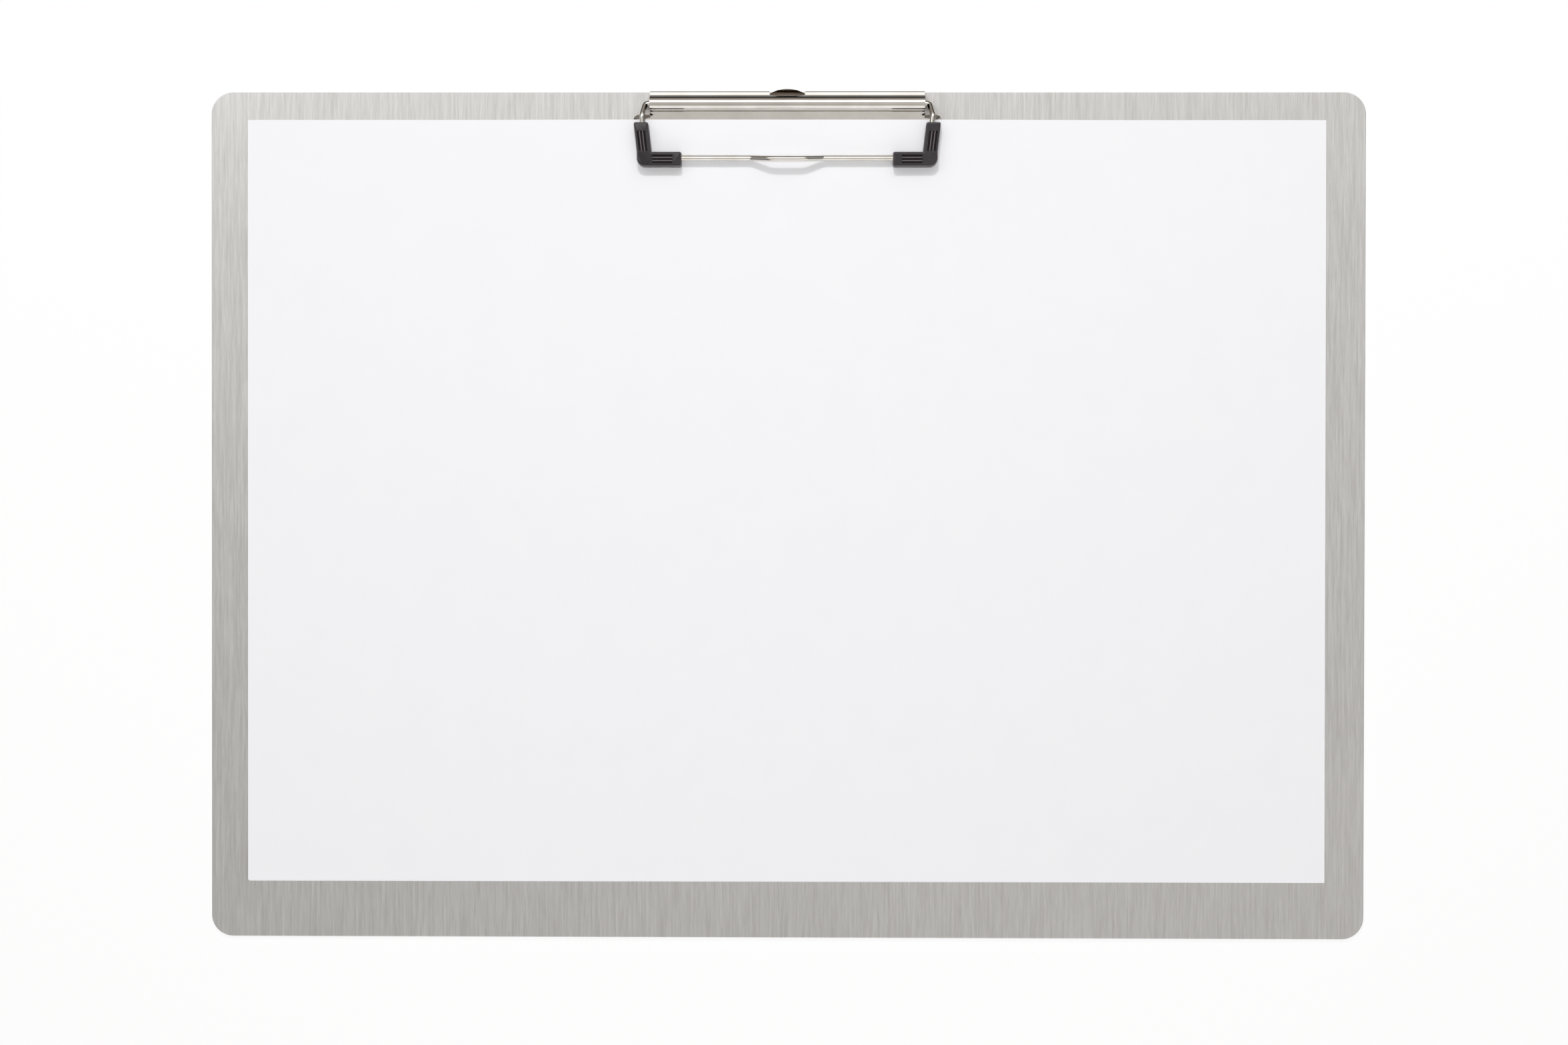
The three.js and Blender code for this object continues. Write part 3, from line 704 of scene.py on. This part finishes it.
def ridge_outline(clip, low, top, back):
    """Section of the sheet from the flange over the ridge to the foot of the back rim."""
    radius, front, foot = clip.ridge_radius, clip.front_fillet, clip.back_fillet
    front_bend = HINGE.y - radius - front
    back_bend = HINGE.y + radius + foot
    foot_height = HINGE.z - FOOT_DROP
    outline = [(front_bend, top)]
    outline += arc((front_bend, top + front), front, -90, 0, 10)
    outline += arc((HINGE.y, HINGE.z), radius, 180, 0, 48)
    outline += [(HINGE.y + radius, foot_height)]
    slope, rim = clip.strip_slope, clip.rim_radius
    outline += arc((back_bend, foot_height), foot, 180, 270 - math.degrees(slope), 6)
    strip_start = outline[-1]
    strip_end = back - rim + rim * math.sin(slope)
    rim_height = strip_start[1] - (strip_end - strip_start[0]) * math.tan(slope) - rim * math.cos(slope)
    outline.append((strip_end, rim_height + rim * math.cos(slope)))
    outline += arc((back - rim, rim_height), rim, 90 - math.degrees(slope), 0, 6)
    outline += [(back, low)]
    return outline


def spread_shoulder(base, clip, side, top, shoulder):
    """Widens the flange's sloping flank at one shoulder."""
    inner_side = side * (clip.ridge_length / 2 + MM / 2)
    start = shoulder - 2 * clip.corner_radius

    def on_shoulder(vertex):
        place = vertex.co
        return at(place.z, top) and (place.x - inner_side) * side > 0 and place.y > start

    pick(base, "VERT", on_shoulder)
    bpy.ops.transform.translate(value=(-side * clip.flank_spread, -clip.flank_spread, 0))


def flange_and_ridge(clip, low, top):
    """The flange with its skirt and shoulders, and the sheet that runs on over the ridge to the rim."""
    half = clip.ridge_length / 2
    inner = half + 0.01 * MM
    shoulder = HINGE.y - clip.ridge_radius - clip.shoulder_setback
    base = add_plate("clip_base_plate", (BASE_LOW.x, BASE_LOW.y), (BASE_HIGH.x, shoulder), top)
    bpy.ops.object.mode_set(mode="EDIT")
    for side in (-1, 1):
        bpy.ops.mesh.select_all(action="SELECT")
        bpy.ops.mesh.bisect(plane_co=(side * half, 0, 0), plane_no=(1, 0, 0))
    pick(base, "VERT", lambda vertex: at(abs(vertex.co.x), BASE_HIGH.x))
    bpy.ops.mesh.bevel(offset=clip.corner_radius, segments=8, affect="VERTICES")
    pick(base, "EDGE", lambda edge: both(edge, lambda place: at(place.y, shoulder) and abs(place.x) < inner))
    extrude_along((shoulder, top), ridge_outline(clip, low, top, BASE_HIGH.y))

    def on_flange(place):
        return at(place.z, top) and place.y < shoulder + EDGE_SLACK

    def by_ridge(place):
        return abs(place.x) < inner and place.y > shoulder - MM

    def on_rim(edge):
        return edge.is_boundary and both(edge, on_flange) and not both(edge, by_ridge)

    pick(base, "EDGE", on_rim)
    bpy.ops.mesh.extrude_region_move(TRANSFORM_OT_translate={"value": (0, 0, low - top)})

    def on_skirt(face):
        return abs(face.normal.z) < 0.5 and min(vertex.co.z for vertex in face.verts) < top - MM

    def on_bend(edge):
        return both(edge, on_flange) and any(on_skirt(face) for face in edge.link_faces)

    pick(base, "EDGE", on_bend)
    round_edges(clip.flank_width, 1)
    for side in (-1, 1):
        spread_shoulder(base, clip, side, top, shoulder)
    bpy.ops.mesh.select_all(action="SELECT")
    bpy.ops.mesh.normals_make_consistent(inside=False)
    deselect_all()
    flat = max(base.data.polygons, key=lambda face: face.area)
    if flat.normal.z < 0:
        base.data.flip_normals()
    return base


def cut_notch(base, clip):
    """Opens the notch in the back strip and its rim that the eyelet's lip stands in."""
    front = TAB_HIGH.y - clip.lip_radius - NOTCH_ROOM
    cuts = [((side * clip.notch_half, 0, 0), (1, 0, 0)) for side in (-1, 1)]
    bpy.ops.object.mode_set(mode="EDIT")
    for place, across in (*cuts, ((0, front, 0), (0, 1, 0))):
        pick(base, "FACE", lambda face: face.calc_center_median().y > HINGE.y + clip.ridge_radius)
        bpy.ops.mesh.bisect(plane_co=place, plane_no=across)

    def in_notch(face):
        middle = face.calc_center_median()
        return middle.y > front and abs(middle.x) < clip.notch_half

    pick(base, "FACE", in_notch)
    bpy.ops.mesh.delete(type="FACE")
    deselect_all()


def press_seats(base, clip, low, top):
    """Presses a seat for each rivet down to the board, with a hole in it."""
    seat, hole = clip.seat_radius, clip.hole_radius
    wall = seat + clip.gauge
    seat_top = BOARD_HIGH.z + clip.gauge
    cup = [(wall - SEAT_ROUND, low), (wall, low + SEAT_ROUND), (wall, top - SEAT_STEP)]
    recess = [
        (seat - SEAT_FOOT, seat_top),
        (seat - SEAT_STEP, seat_top + SEAT_ROUND),
        (seat + SEAT_FLARE, top + SEAT_STEP),
        (seat + SEAT_FLARE, top + MM),
    ]
    for place in rivet_places():
        combine(base, add_round("seat_cup", place, cup), "UNION")
        combine(base, add_round("seat_recess", place, recess), "DIFFERENCE")
        combine(base, add_round("seat_hole", place, [(hole, low - MM), (hole, top)]), "DIFFERENCE")


class CLIPBOARD_OT_clip_base(bpy.types.Operator):
    """Model the pressed base plate with its rolled ridge, shoulders, rivet seats and notch"""

    bl_idname = "clipboard.clip_base"
    bl_label = "Clip base"

    def execute(self, context):
        clip = context.scene.clipboard_clip
        low, top = BASE_LOW.z, HINGE.z - FLANGE_DROP
        base = flange_and_ridge(clip, low, top)
        cut_notch(base, clip)
        apply_modifier(base, "SOLIDIFY", thickness=clip.gauge, offset=-1, use_even_offset=True)
        press_seats(base, clip, low, top)
        finish_mesh(base, 28)
        lines = (60 * MM, 0.35 * MM, 0.35 * MM)
        material = plated_nickel("steel_sheet_pressed_nickel_plated", clip.light, clip.dull, lines, 0.07)
        dress(base, material, "board", "pressed_nickel", "clip_base")
        return {"FINISHED"}


class CLIPBOARD_OT_rivets(bpy.types.Operator):
    """Model the two set rivets"""

    bl_idname = "clipboard.rivets"
    bl_label = "Rivets"

    def execute(self, context):
        clip = context.scene.clipboard_clip
        head = (RIVET_HIGH.x - RIVET_LOW.x) / 2
        seat = BOARD_HIGH.z + clip.gauge
        shank = clip.hole_radius - RIVET_FIT
        top = RIVET_HIGH.z
        shoulder_share, shoulder_drop = CROWN_SHOULDER
        steps = [
            (head * TAIL_SHARE, RIVET_LOW.z),
            (shank, RIVET_LOW.z + MM),
            (shank, seat),
            (head - RIVET_CHAMFER, seat),
            (head, seat + RIVET_CHAMFER),
            *((head * share, seat + height * MM) for share, height in RIVET_CROWN),
            (head * shoulder_share, top - shoulder_drop * MM),
            (head * CROWN_FLAT, top),
        ]
        lines = (0.5 * MM,) * 3
        material = plated_nickel("steel_rivet_set_nickel_plated", clip.light, clip.dull, lines, 0.16)
        for side, place in zip(("left", "right"), rivet_places()):
            rivet = add_round(f"rivet_{side}_set", place, steps, 72)
            finish_mesh(rivet, 32)
            dress(rivet, material, "board", "rivet_nickel", f"rivet_{side}")
        return {"FINISHED"}


def wire_run(sizes, clip, sleeve):
    """The whole wire, from one cranked end over the legs and the cross wire to the other."""
    radius = sizes.diameter / 2
    offset = clip.ridge_radius - clip.gauge - radius - CRANK_ROOM
    arm = SLEEVE_LOW.y + sleeve.width / 2
    cross = arm + sleeve.shift
    kick = arm + sleeve.leg_length + sizes.kick_setback
    shaft_end = clip.ridge_length / 2 - sizes.shaft_length
    crank_end = shaft_end - offset - sizes.crank_length
    high = sizes.leg_height
    half = [
        ((sizes.bump_width * CREST_SHARE, cross - sizes.bump_bow, high + sizes.bump_rise), CREST_BEND),
        ((sizes.bump_width / 2, cross, high), KINK_BEND),
        ((sizes.leg_foot, cross, high), CORNER_BEND),
        ((sizes.leg_top, kick, high), KICK_BEND),
        ((sizes.leg_top - sizes.exit_lean, HINGE.y, HINGE.z), sizes.exit_radius),
        ((shaft_end, HINGE.y, HINGE.z), CRANK_BEND),
        ((shaft_end - offset, HINGE.y, HINGE.z + offset), CRANK_BEND),
        ((crank_end, HINGE.y, HINGE.z + offset), 0),
    ]
    mirrored = [((-place[0], place[1], place[2]), bend) for place, bend in half]
    whole = [*reversed(mirrored), *half]
    corners = [Vector(place) for place, bend in whole]
    return rounded_run(corners, [bend for place, bend in whole], 14)


class CLIPBOARD_OT_bail_wire(bpy.types.Operator):
    """Model the bent spring wire"""

    bl_idname = "clipboard.bail_wire"
    bl_label = "Bail wire"

    def execute(self, context):
        sizes = context.scene.clipboard_bail
        run = wire_run(sizes, context.scene.clipboard_clip, context.scene.clipboard_sleeve)
        wire = add_rod("bail_spring_wire", run, sizes.diameter / 2, 8)
        finish_mesh(wire, 50)
        lines = (14 * MM, 0.4 * MM, 0.4 * MM)
        material = plated_nickel("spring_wire_drawn_nickel_plated", sizes.light, sizes.dull, lines, 0.06)
        dress(wire, material, "bail", "wire_nickel", "bail_wire")
        return {"FINISHED"}


def press_panel(sleeve, sizes, elbow, along, start, end):
    """Sinks a shallow panel with lengthwise grooves into one limb's top, between elbow and collar."""
    across = Vector((along.y, -along.x, 0))
    top = SLEEVE_HIGH.z
    floor = top - sizes.panel_depth

    def on_panel(face, height):
        place = face.calc_center_median()
        flat = face.normal.z > 0.99 and at(place.z, height, LOOSE)
        return flat and start < (place - elbow).dot(along) < end

    def sink(height, offset, half, depth):
        for edge in (offset - half, offset + half):
            pick(sleeve, "FACE", lambda face: on_panel(face, height))
            bpy.ops.mesh.bisect(plane_co=elbow + across * edge, plane_no=across)

        def inside(face):
            place = (face.calc_center_median() - elbow).dot(across)
            return on_panel(face, height) and abs(place - offset) < half

        pick(sleeve, "FACE", inside)
        bpy.ops.mesh.extrude_region_move(TRANSFORM_OT_translate={"value": (0, 0, -depth)})

    sink(top, 0, sizes.panel_half, sizes.panel_depth)
    for index in (-1, 0, 1):
        sink(floor, index * sizes.groove_pitch, sizes.groove_width / 2, sizes.groove_depth)

    def drops_from(face, height):
        return abs(face.normal.z) < 0.1 and min(vertex.co.z for vertex in face.verts) < height

    def on_lip(edge):
        middle = (edge.verts[0].co + edge.verts[1].co) / 2 - elbow
        within = start - 0.1 * MM < middle.dot(along) < end + 0.1 * MM
        beside = abs(middle.dot(across)) < sizes.panel_half * 1.01
        flat = level(edge, top, LOOSE) or level(edge, floor, LOOSE)
        height = edge.verts[0].co.z
        return within and beside and flat and any(drops_from(face, height) for face in edge.link_faces)

    pick(sleeve, "EDGE", on_lip)
    round_edges(sizes.lip_radius, 2)


def push_end(sleeve, elbow, facing, reach, step):
    """Pushes the end face of a limb, which lies at a reach from the elbow, out by a step."""

    def is_end(face):
        away = (face.calc_center_median() - elbow).dot(facing)
        return face.normal.dot(facing) > 0.9 and at(away, reach)

    pick(sleeve, "FACE", is_end)
    bpy.ops.mesh.extrude_region_move(TRANSFORM_OT_translate={"value": step})


def round_rim(sleeve, height, radius):
    """Rounds the long edges at a height."""

    def on_rim(edge):
        return level(edge, height) and any(abs(face.normal.z) < 0.5 for face in edge.link_faces)

    pick(sleeve, "EDGE", on_rim)
    round_edges(radius, 5)


def build_sleeve(name, sizes, wire):
    """The right-hand sleeve: an elbow block with a leg and an arm, ribbed tops and a bore for the wire."""
    half = sizes.width / 2
    low, top = SLEEVE_LOW.z, SLEEVE_HIGH.z
    cross = SLEEVE_LOW.y + half
    elbow = Vector((wire.leg_foot + sizes.shift, cross, 0))
    leg_end = Vector((wire.leg_top + sizes.shift, cross + sizes.leg_length, 0))
    leg_along, arm_along = (leg_end - elbow).normalized(), Vector((-1, 0, 0))
    corner_low = (elbow.x - half, cross - half, low)
    corner_high = (elbow.x + half, cross + half, top)
    sleeve = add_box(name, corner_low, corner_high)
    bpy.ops.object.mode_set(mode="EDIT")
    start = half + PANEL_GAP
    limbs = (
        (leg_along, Vector((0, 1, 0)), sizes.leg_length),
        (arm_along, arm_along, sizes.arm_length),
    )
    for along, facing, end in limbs:
        reach = half
        for stop in (start, end - sizes.collar, end):
            push_end(sleeve, elbow, facing, reach, along / along.dot(facing) * (stop - reach))
            reach = stop

    def at_elbow(edge):
        place = edge.verts[0].co
        return upright(edge) and at(place.x, elbow.x + half, LOOSE) and at(place.y, cross - half, LOOSE)

    pick(sleeve, "EDGE", at_elbow)
    round_edges(sizes.elbow_radius, 10)

    def at_ends(edge):
        place = edge.verts[0].co
        at_leg = place.y > cross + sizes.leg_length - MM / 2
        at_arm = place.x < elbow.x - sizes.arm_length + MM / 2
        return upright(edge) and (at_leg or at_arm)

    pick(sleeve, "EDGE", at_ends)
    round_edges(END_ROUND, 5)
    for height in (low, top):
        round_rim(sleeve, height, sizes.edge_radius)
    for along, facing, end in limbs:
        press_panel(sleeve, sizes, elbow, along, start + PANEL_SLACK, end - sizes.collar - PANEL_SLACK)
    bpy.ops.object.mode_set(mode="OBJECT")
    arm_axis = cross + sizes.shift
    bore_corners = [
        Vector((wire.leg_top, leg_end.y + wire.kick_setback, wire.leg_height)),
        Vector((wire.leg_foot, arm_axis, wire.leg_height)),
        Vector((elbow.x - sizes.arm_length - 2 * MM, arm_axis, wire.leg_height)),
    ]
    bore_run = rounded_run(bore_corners, [0, CORNER_BEND, 0], 10)
    combine(sleeve, add_rod("sleeve_bore", bore_run, wire.diameter / 2 + BORE_ROOM), "DIFFERENCE")
    finish_mesh(sleeve, 38)
    return sleeve


class CLIPBOARD_OT_sleeves(bpy.types.Operator):
    """Model the two moulded corner sleeves"""

    bl_idname = "clipboard.sleeves"
    bl_label = "Corner sleeves"

    def execute(self, context):
        sizes = context.scene.clipboard_sleeve
        right = build_sleeve("sleeve_right_moulded", sizes, context.scene.clipboard_bail)
        left = right.copy()
        left.data = right.data.copy()
        left.name = left.data.name = "sleeve_left_moulded"
        context.scene.collection.objects.link(left)
        left.data.transform(Matrix.Diagonal((-1, 1, 1, 1)))
        left.data.flip_normals()
        material = stippled_plastic(sizes)
        dress(right, material, "bail", "sleeve_plastic", "corner_sleeve_right")
        dress(left, material, "bail", "sleeve_plastic", "corner_sleeve_left")
        return {"FINISHED"}


class CLIPBOARD_OT_hanger(bpy.types.Operator):
    """Model the pull-out hanging eyelet"""

    bl_idname = "clipboard.hanger"
    bl_label = "Hanging eyelet"

    def execute(self, context):
        clip = context.scene.clipboard_clip
        low = TAB_LOW.z
        gauge = clip.gauge - EYELET_THINNER
        high = low + gauge
        stop_front = TAB_LOW.y
        stop_back = stop_front + clip.stop_length
        lip_base = TAB_HIGH.y - clip.lip_radius - gauge / 2
        tab = add_box("hanger_eyelet", (TAB_LOW.x, stop_front, low), (TAB_HIGH.x, stop_back, high))
        bpy.ops.object.mode_set(mode="EDIT")
        for side in (-1, 1):
            bpy.ops.mesh.select_all(action="SELECT")
            bpy.ops.mesh.bisect(plane_co=(side * clip.neck_half, 0, 0), plane_no=(1, 0, 0))
        pick(tab, "FACE", lambda face: face.normal.y > 0.9 and abs(face.calc_center_median().x) < clip.neck_half)
        reach = lip_base - gauge / 2 - stop_back
        bpy.ops.mesh.extrude_region_move(TRANSFORM_OT_translate={"value": (0, reach, 0)})
        deselect_all()
        hole_place = (0, lip_base - clip.web - clip.hole)
        hole = add_round("eyelet_hole", hole_place, [(clip.hole, low - MM), (clip.hole, high + MM)])
        combine(tab, hole, "DIFFERENCE")
        middle = (low + high) / 2
        flat_start = lip_base - gauge
        lip_front = flat_start - LIP_OVERLAP
        lip = add_plate("lip", (-clip.lip_half, lip_front), (clip.lip_half, flat_start), middle)
        bpy.ops.object.mode_set(mode="EDIT")
        pick(lip, "EDGE", lambda edge: both(edge, lambda place: at(place.y, flat_start)))
        curl = arc((lip_base, middle + clip.lip_radius), clip.lip_radius, -90, 0, 16)
        extrude_along((flat_start, middle), [(lip_base, middle), *curl])
        deselect_all()
        apply_modifier(lip, "SOLIDIFY", thickness=gauge, offset=0, use_even_offset=True)
        bow = clip.lip_bow
        bow_radius = (clip.lip_half**2 + bow**2) / (2 * bow)
        bow_place = (0, TAB_HIGH.y - bow_radius)
        tool = add_round("lip_bow", bow_place, [(bow_radius, low - MM), (bow_radius, high + 6 * MM)], 256)
        combine(lip, tool, "INTERSECT")
        combine(tab, lip, "UNION")
        settings = {"width": EYELET_BREAK, "segments": 2, "limit_method": "ANGLE"}
        apply_modifier(tab, "BEVEL", **settings, angle_limit=math.radians(50))
        finish_mesh(tab, 30)
        lines = (0.4 * MM, 30 * MM, 0.4 * MM)
        # The eyelet's dark tints are painted shade for the dark notch round the lip
        tints = (clip.eyelet_painted_shade, clip.eyelet_painted_shade_dull)
        material = plated_nickel("steel_eyelet_pressed_nickel_plated_painted_shade", *tints, lines, 0.1)
        dress(tab, material, "hanger", "pressed_nickel", "hanger_tab")
        return {"FINISHED"}


def ease_down(distance, reach):
    """Falls smoothly from one to zero over a reach."""
    share = min(max(distance / reach, 0), 1)
    return (1 + math.cos(math.pi * share)) / 2


class CLIPBOARD_OT_paper(bpy.types.Operator):
    """Model the sheets of paper that the bail holds"""

    bl_idname = "clipboard.paper"
    bl_label = "Paper"

    def execute(self, context):
        sizes = context.scene.clipboard_paper
        width = PAPER_HIGH.x - PAPER_LOW.x
        height = PAPER_HIGH.y - PAPER_LOW.y
        centre = (PAPER_LOW + PAPER_HIGH) / 2
        cells = {
            "x_subdivisions": round(width / sizes.cell),
            "y_subdivisions": round(height / sizes.cell),
        }
        rise = PAPER_HIGH.z - PAPER_LOW.z - sizes.count * SHEET_THICKNESS
        material = copy_paper(sizes)
        for index, (shift_x, shift_y, turn) in enumerate(SHEET_SHIFTS[: sizes.count]):
            deselect_all()
            bpy.ops.mesh.primitive_grid_add(**cells, size=1)
            bpy.context.active_object.scale = (width, height, 1)
            sheet = settle(f"paper_sheet_{index + 1}")
            place = Matrix.Translation((centre.x + shift_x * MM, centre.y + shift_y * MM, 0))
            sheet.data.transform(place @ Matrix.Rotation(math.radians(turn), 4, "Z"))
            for vertex in sheet.data.vertices:
                beyond_front = BASE_LOW.y - sizes.margin - vertex.co.y
                beyond_side = abs(vertex.co.x) - BASE_HIGH.x - sizes.margin
                lift = rise * ease_down(beyond_front, sizes.ramp) * ease_down(beyond_side, sizes.flank)
                vertex.co.z = PAPER_LOW.z + index * SHEET_THICKNESS + lift
            apply_modifier(sheet, "SOLIDIFY", thickness=SHEET_THICKNESS, offset=1, use_even_offset=True)
            make_active(sheet)
            bpy.ops.object.shade_smooth_by_angle(angle=math.radians(30))
            dress(sheet, material, "paper", "paper", "paper_sheets")
        return {"FINISHED"}


def paint_bands(ramp):
    """Gives a colour ramp the room's bands; the darker a band is, the warmer it is."""
    shares = [(angle + 180) / 360 for angle, value in ROOM_BANDS]
    elements = ramp.elements
    elements[0].position, elements[1].position = shares[0], shares[-1]
    for share in shares[1:-1]:
        elements.new(share)
    for element, (angle, value) in zip(elements, ROOM_BANDS):
        gloom = max(1 - value, 0) ** 2
        element.color = (value, value * (1 - GREEN_LOSS * gloom), value * (1 - BLUE_LOSS * gloom), 1)


def studio_room(scene, sizes):
    """Light from the studio round the object, bright up and down the page and dark at the sides.

    Its bands are what the plated steel mirrors: a strip light up the page, a white wall down the
    page, and a greyer ceiling with the camera between the two. Matt surfaces, which the two lamps
    light, take only a share of it.
    """
    world = bpy.data.worlds.new("studio_room")
    scene.world = world
    world.use_nodes = True
    tree = world.node_tree
    tree.nodes.clear()
    output = add_node(tree, "OutputWorld")
    heading = add_node(tree, "TexCoord").outputs["Generated"]
    inputs = {"Vector": heading, "Rotation": (0, 0, sizes.room_turn)}
    turned = add_node(tree, "Mapping", inputs).outputs["Vector"]
    parts = add_node(tree, "SeparateXYZ", {"Vector": turned}).outputs
    lean = add_node(tree, "Math", {0: parts["Y"], 1: parts["Z"]}, operation="ARCTAN2").outputs[0]
    place = add_node(tree, "MapRange", between(lean, -math.pi, math.pi)).outputs["Result"]
    ramp = add_node(tree, "ValToRGB", {"Fac": place})
    paint_bands(ramp.color_ramp)
    sideways = add_node(tree, "Math", {0: parts["X"]}, operation="ABSOLUTE").outputs[0]
    inputs = between(sideways, sizes.side_start, sizes.side_end, 1.0, sizes.side_dim)
    dim = add_node(tree, "MapRange", inputs, interpolation_type="SMOOTHSTEP").outputs["Result"]
    inputs = {0: heading, 1: Vector(CORNER_HEADING).normalized()}
    apart = add_node(tree, "VectorMath", inputs, operation="DISTANCE").outputs["Value"]
    inputs = between(apart, *CORNER_REACH, sizes.corner_light, 1.0)
    shade = add_node(tree, "MapRange", inputs).outputs["Result"]
    level_of_light = add_node(tree, "Math", {0: dim, 1: shade}, operation="MULTIPLY").outputs[0]
    path = add_node(tree, "LightPath").outputs
    matt = sizes.room_strength * sizes.matt_share
    inputs = between(path["Is Glossy Ray"], 0.0, 1.0, matt, sizes.room_strength)
    share = add_node(tree, "MapRange", inputs).outputs["Result"]
    inputs = {0: level_of_light, 1: share}
    power = add_node(tree, "Math", inputs, operation="MULTIPLY").outputs[0]
    room = add_node(tree, "Background", {"Color": ramp.outputs["Color"], "Strength": power})
    white = add_node(tree, "Background", {"Color": WHITE, "Strength": 1.0})
    inputs = {0: path["Is Camera Ray"], 1: room.outputs["Background"], 2: white.outputs["Background"]}
    mixed = add_node(tree, "MixShader", inputs)
    tree.links.new(mixed.outputs["Shader"], output.inputs["Surface"])


def studio_floor():
    """A table that is white to the camera, with a faint shadow of the object.

    Metal mirrors the white table too, up to the board's top edge. Beyond it the table is painted dark for metal
    alone, a painted reflection that draws the dark line along the back of the ridge.
    """
    deselect_all()
    bpy.ops.mesh.primitive_plane_add(size=FLOOR_SIZE, location=(0, 0, BOARD_LOW.z - FLOOR_GAP))
    floor = settle("studio_floor")
    material, tree, output, place = new_material("table_white_matt_painted_dark_reflection")
    up_page = add_node(tree, "SeparateXYZ", {"Vector": place}).outputs["Y"]
    top_edge = BOARD_HIGH.y
    fade = (top_edge, top_edge + FLOOR_FADE)
    # Beyond the board's top edge the table turns dark for metal alone: a painted reflection
    colour = tinted(tree, up_page, fade, linear(FLOOR_WHITE), linear(FLOOR_PAINTED_REFLECTION))
    matt = add_node(tree, "BsdfDiffuse", {"Color": colour}).outputs["BSDF"]
    glow = add_node(tree, "Emission", {"Color": WHITE, "Strength": 1.0}).outputs["Emission"]
    path = add_node(tree, "LightPath").outputs
    to_camera = add_node(tree, "MapRange", between(up_page, 0.0, top_edge, FLOOR_GLOW, 1.0))
    to_metal = add_node(tree, "MapRange", between(up_page, *fade, FLOOR_GLOW, 0.0))
    inputs = {0: path["Is Camera Ray"], 1: to_camera.outputs["Result"]}
    camera = add_node(tree, "Math", inputs, operation="MULTIPLY").outputs[0]
    inputs = {0: path["Is Glossy Ray"], 1: to_metal.outputs["Result"]}
    metal = add_node(tree, "Math", inputs, operation="MULTIPLY").outputs[0]
    share = add_node(tree, "Math", {0: camera, 1: metal}, operation="MAXIMUM").outputs[0]
    mixed = add_node(tree, "MixShader", {0: share, 1: matt, 2: glow})
    tree.links.new(mixed.outputs["Shader"], output.inputs["Surface"])
    floor.data.materials.append(material)


def add_lamp(name, place, aim, size, power):
    """A rectangular lamp that points at a place, and that metal doesn't mirror."""
    bpy.ops.object.light_add(type="AREA", location=place)
    lamp = bpy.context.active_object
    lamp.name = name
    lamp.data.shape = "RECTANGLE"
    lamp.data.size, lamp.data.size_y = size
    lamp.data.energy = power
    lamp.visible_glossy = False
    lamp.rotation_euler = (aim - place).to_track_quat("-Z", "Y").to_euler()


class CLIPBOARD_OT_stage(bpy.types.Operator):
    """Set the floor, the light and the camera"""

    bl_idname = "clipboard.stage"
    bl_label = "Stage"

    def execute(self, context):
        scene = context.scene
        sizes = scene.clipboard_stage
        studio_floor()
        studio_room(scene, sizes)
        tilt, distance = sizes.key_tilt, sizes.key_distance
        aim = Vector((0, SLEEVE_LOW.y, 0))
        place = aim + Vector((-sizes.key_aside, math.cos(tilt) * distance, math.sin(tilt) * distance))
        add_lamp("key_lamp", place, aim, (sizes.key_width, sizes.key_height), sizes.key_power)
        above = Vector((0, -sizes.fill_back, sizes.fill_height))
        add_lamp("fill_above", above, aim, (sizes.fill_size, sizes.fill_size), sizes.fill_power)
        camera_data = bpy.data.cameras.new("camera")
        camera_data.lens = sizes.lens
        camera_data.sensor_width = 36
        camera = bpy.data.objects.new("camera", camera_data)
        scene.collection.objects.link(camera)
        camera.location = sizes.camera_place
        camera.rotation_euler = Euler(sizes.camera_turn, "XYZ")
        scene.camera = camera
        scene.view_settings.view_transform = "Standard"
        return {"FINISHED"}


class CLIPBOARD_PT_panel(bpy.types.Panel):
    """Lists the steps that make the clipboard"""

    bl_idname = "CLIPBOARD_PT_panel"
    bl_label = "Clipboard"
    bl_space_type = "VIEW_3D"
    bl_region_type = "UI"
    bl_category = "Clipboard"

    def draw(self, context):
        for step in STEPS:
            self.layout.operator(f"clipboard.{step}")


STEPS = ("board", "clip_base", "rivets", "bail_wire", "sleeves", "hanger", "paper", "stage")
SETTINGS = {
    "clipboard_board": ClipboardBoard,
    "clipboard_clip": ClipboardClip,
    "clipboard_bail": ClipboardBail,
    "clipboard_sleeve": ClipboardSleeve,
    "clipboard_paper": ClipboardPaper,
    "clipboard_stage": ClipboardStage,
}
CLASSES = (
    *SETTINGS.values(),
    CLIPBOARD_OT_board,
    CLIPBOARD_OT_clip_base,
    CLIPBOARD_OT_rivets,
    CLIPBOARD_OT_bail_wire,
    CLIPBOARD_OT_sleeves,
    CLIPBOARD_OT_hanger,
    CLIPBOARD_OT_paper,
    CLIPBOARD_OT_stage,
    CLIPBOARD_PT_panel,
)


def register():
    for kind in CLASSES:
        bpy.utils.register_class(kind)
    for name, kind in SETTINGS.items():
        setattr(bpy.types.Scene, name, PointerProperty(type=kind))


def unregister():
    for name in SETTINGS:
        delattr(bpy.types.Scene, name)
    for kind in reversed(CLASSES):
        bpy.utils.unregister_class(kind)


def main():
    register()
    for step in STEPS:
        getattr(bpy.ops.clipboard, step)()


if __name__ == "__main__":
    main()
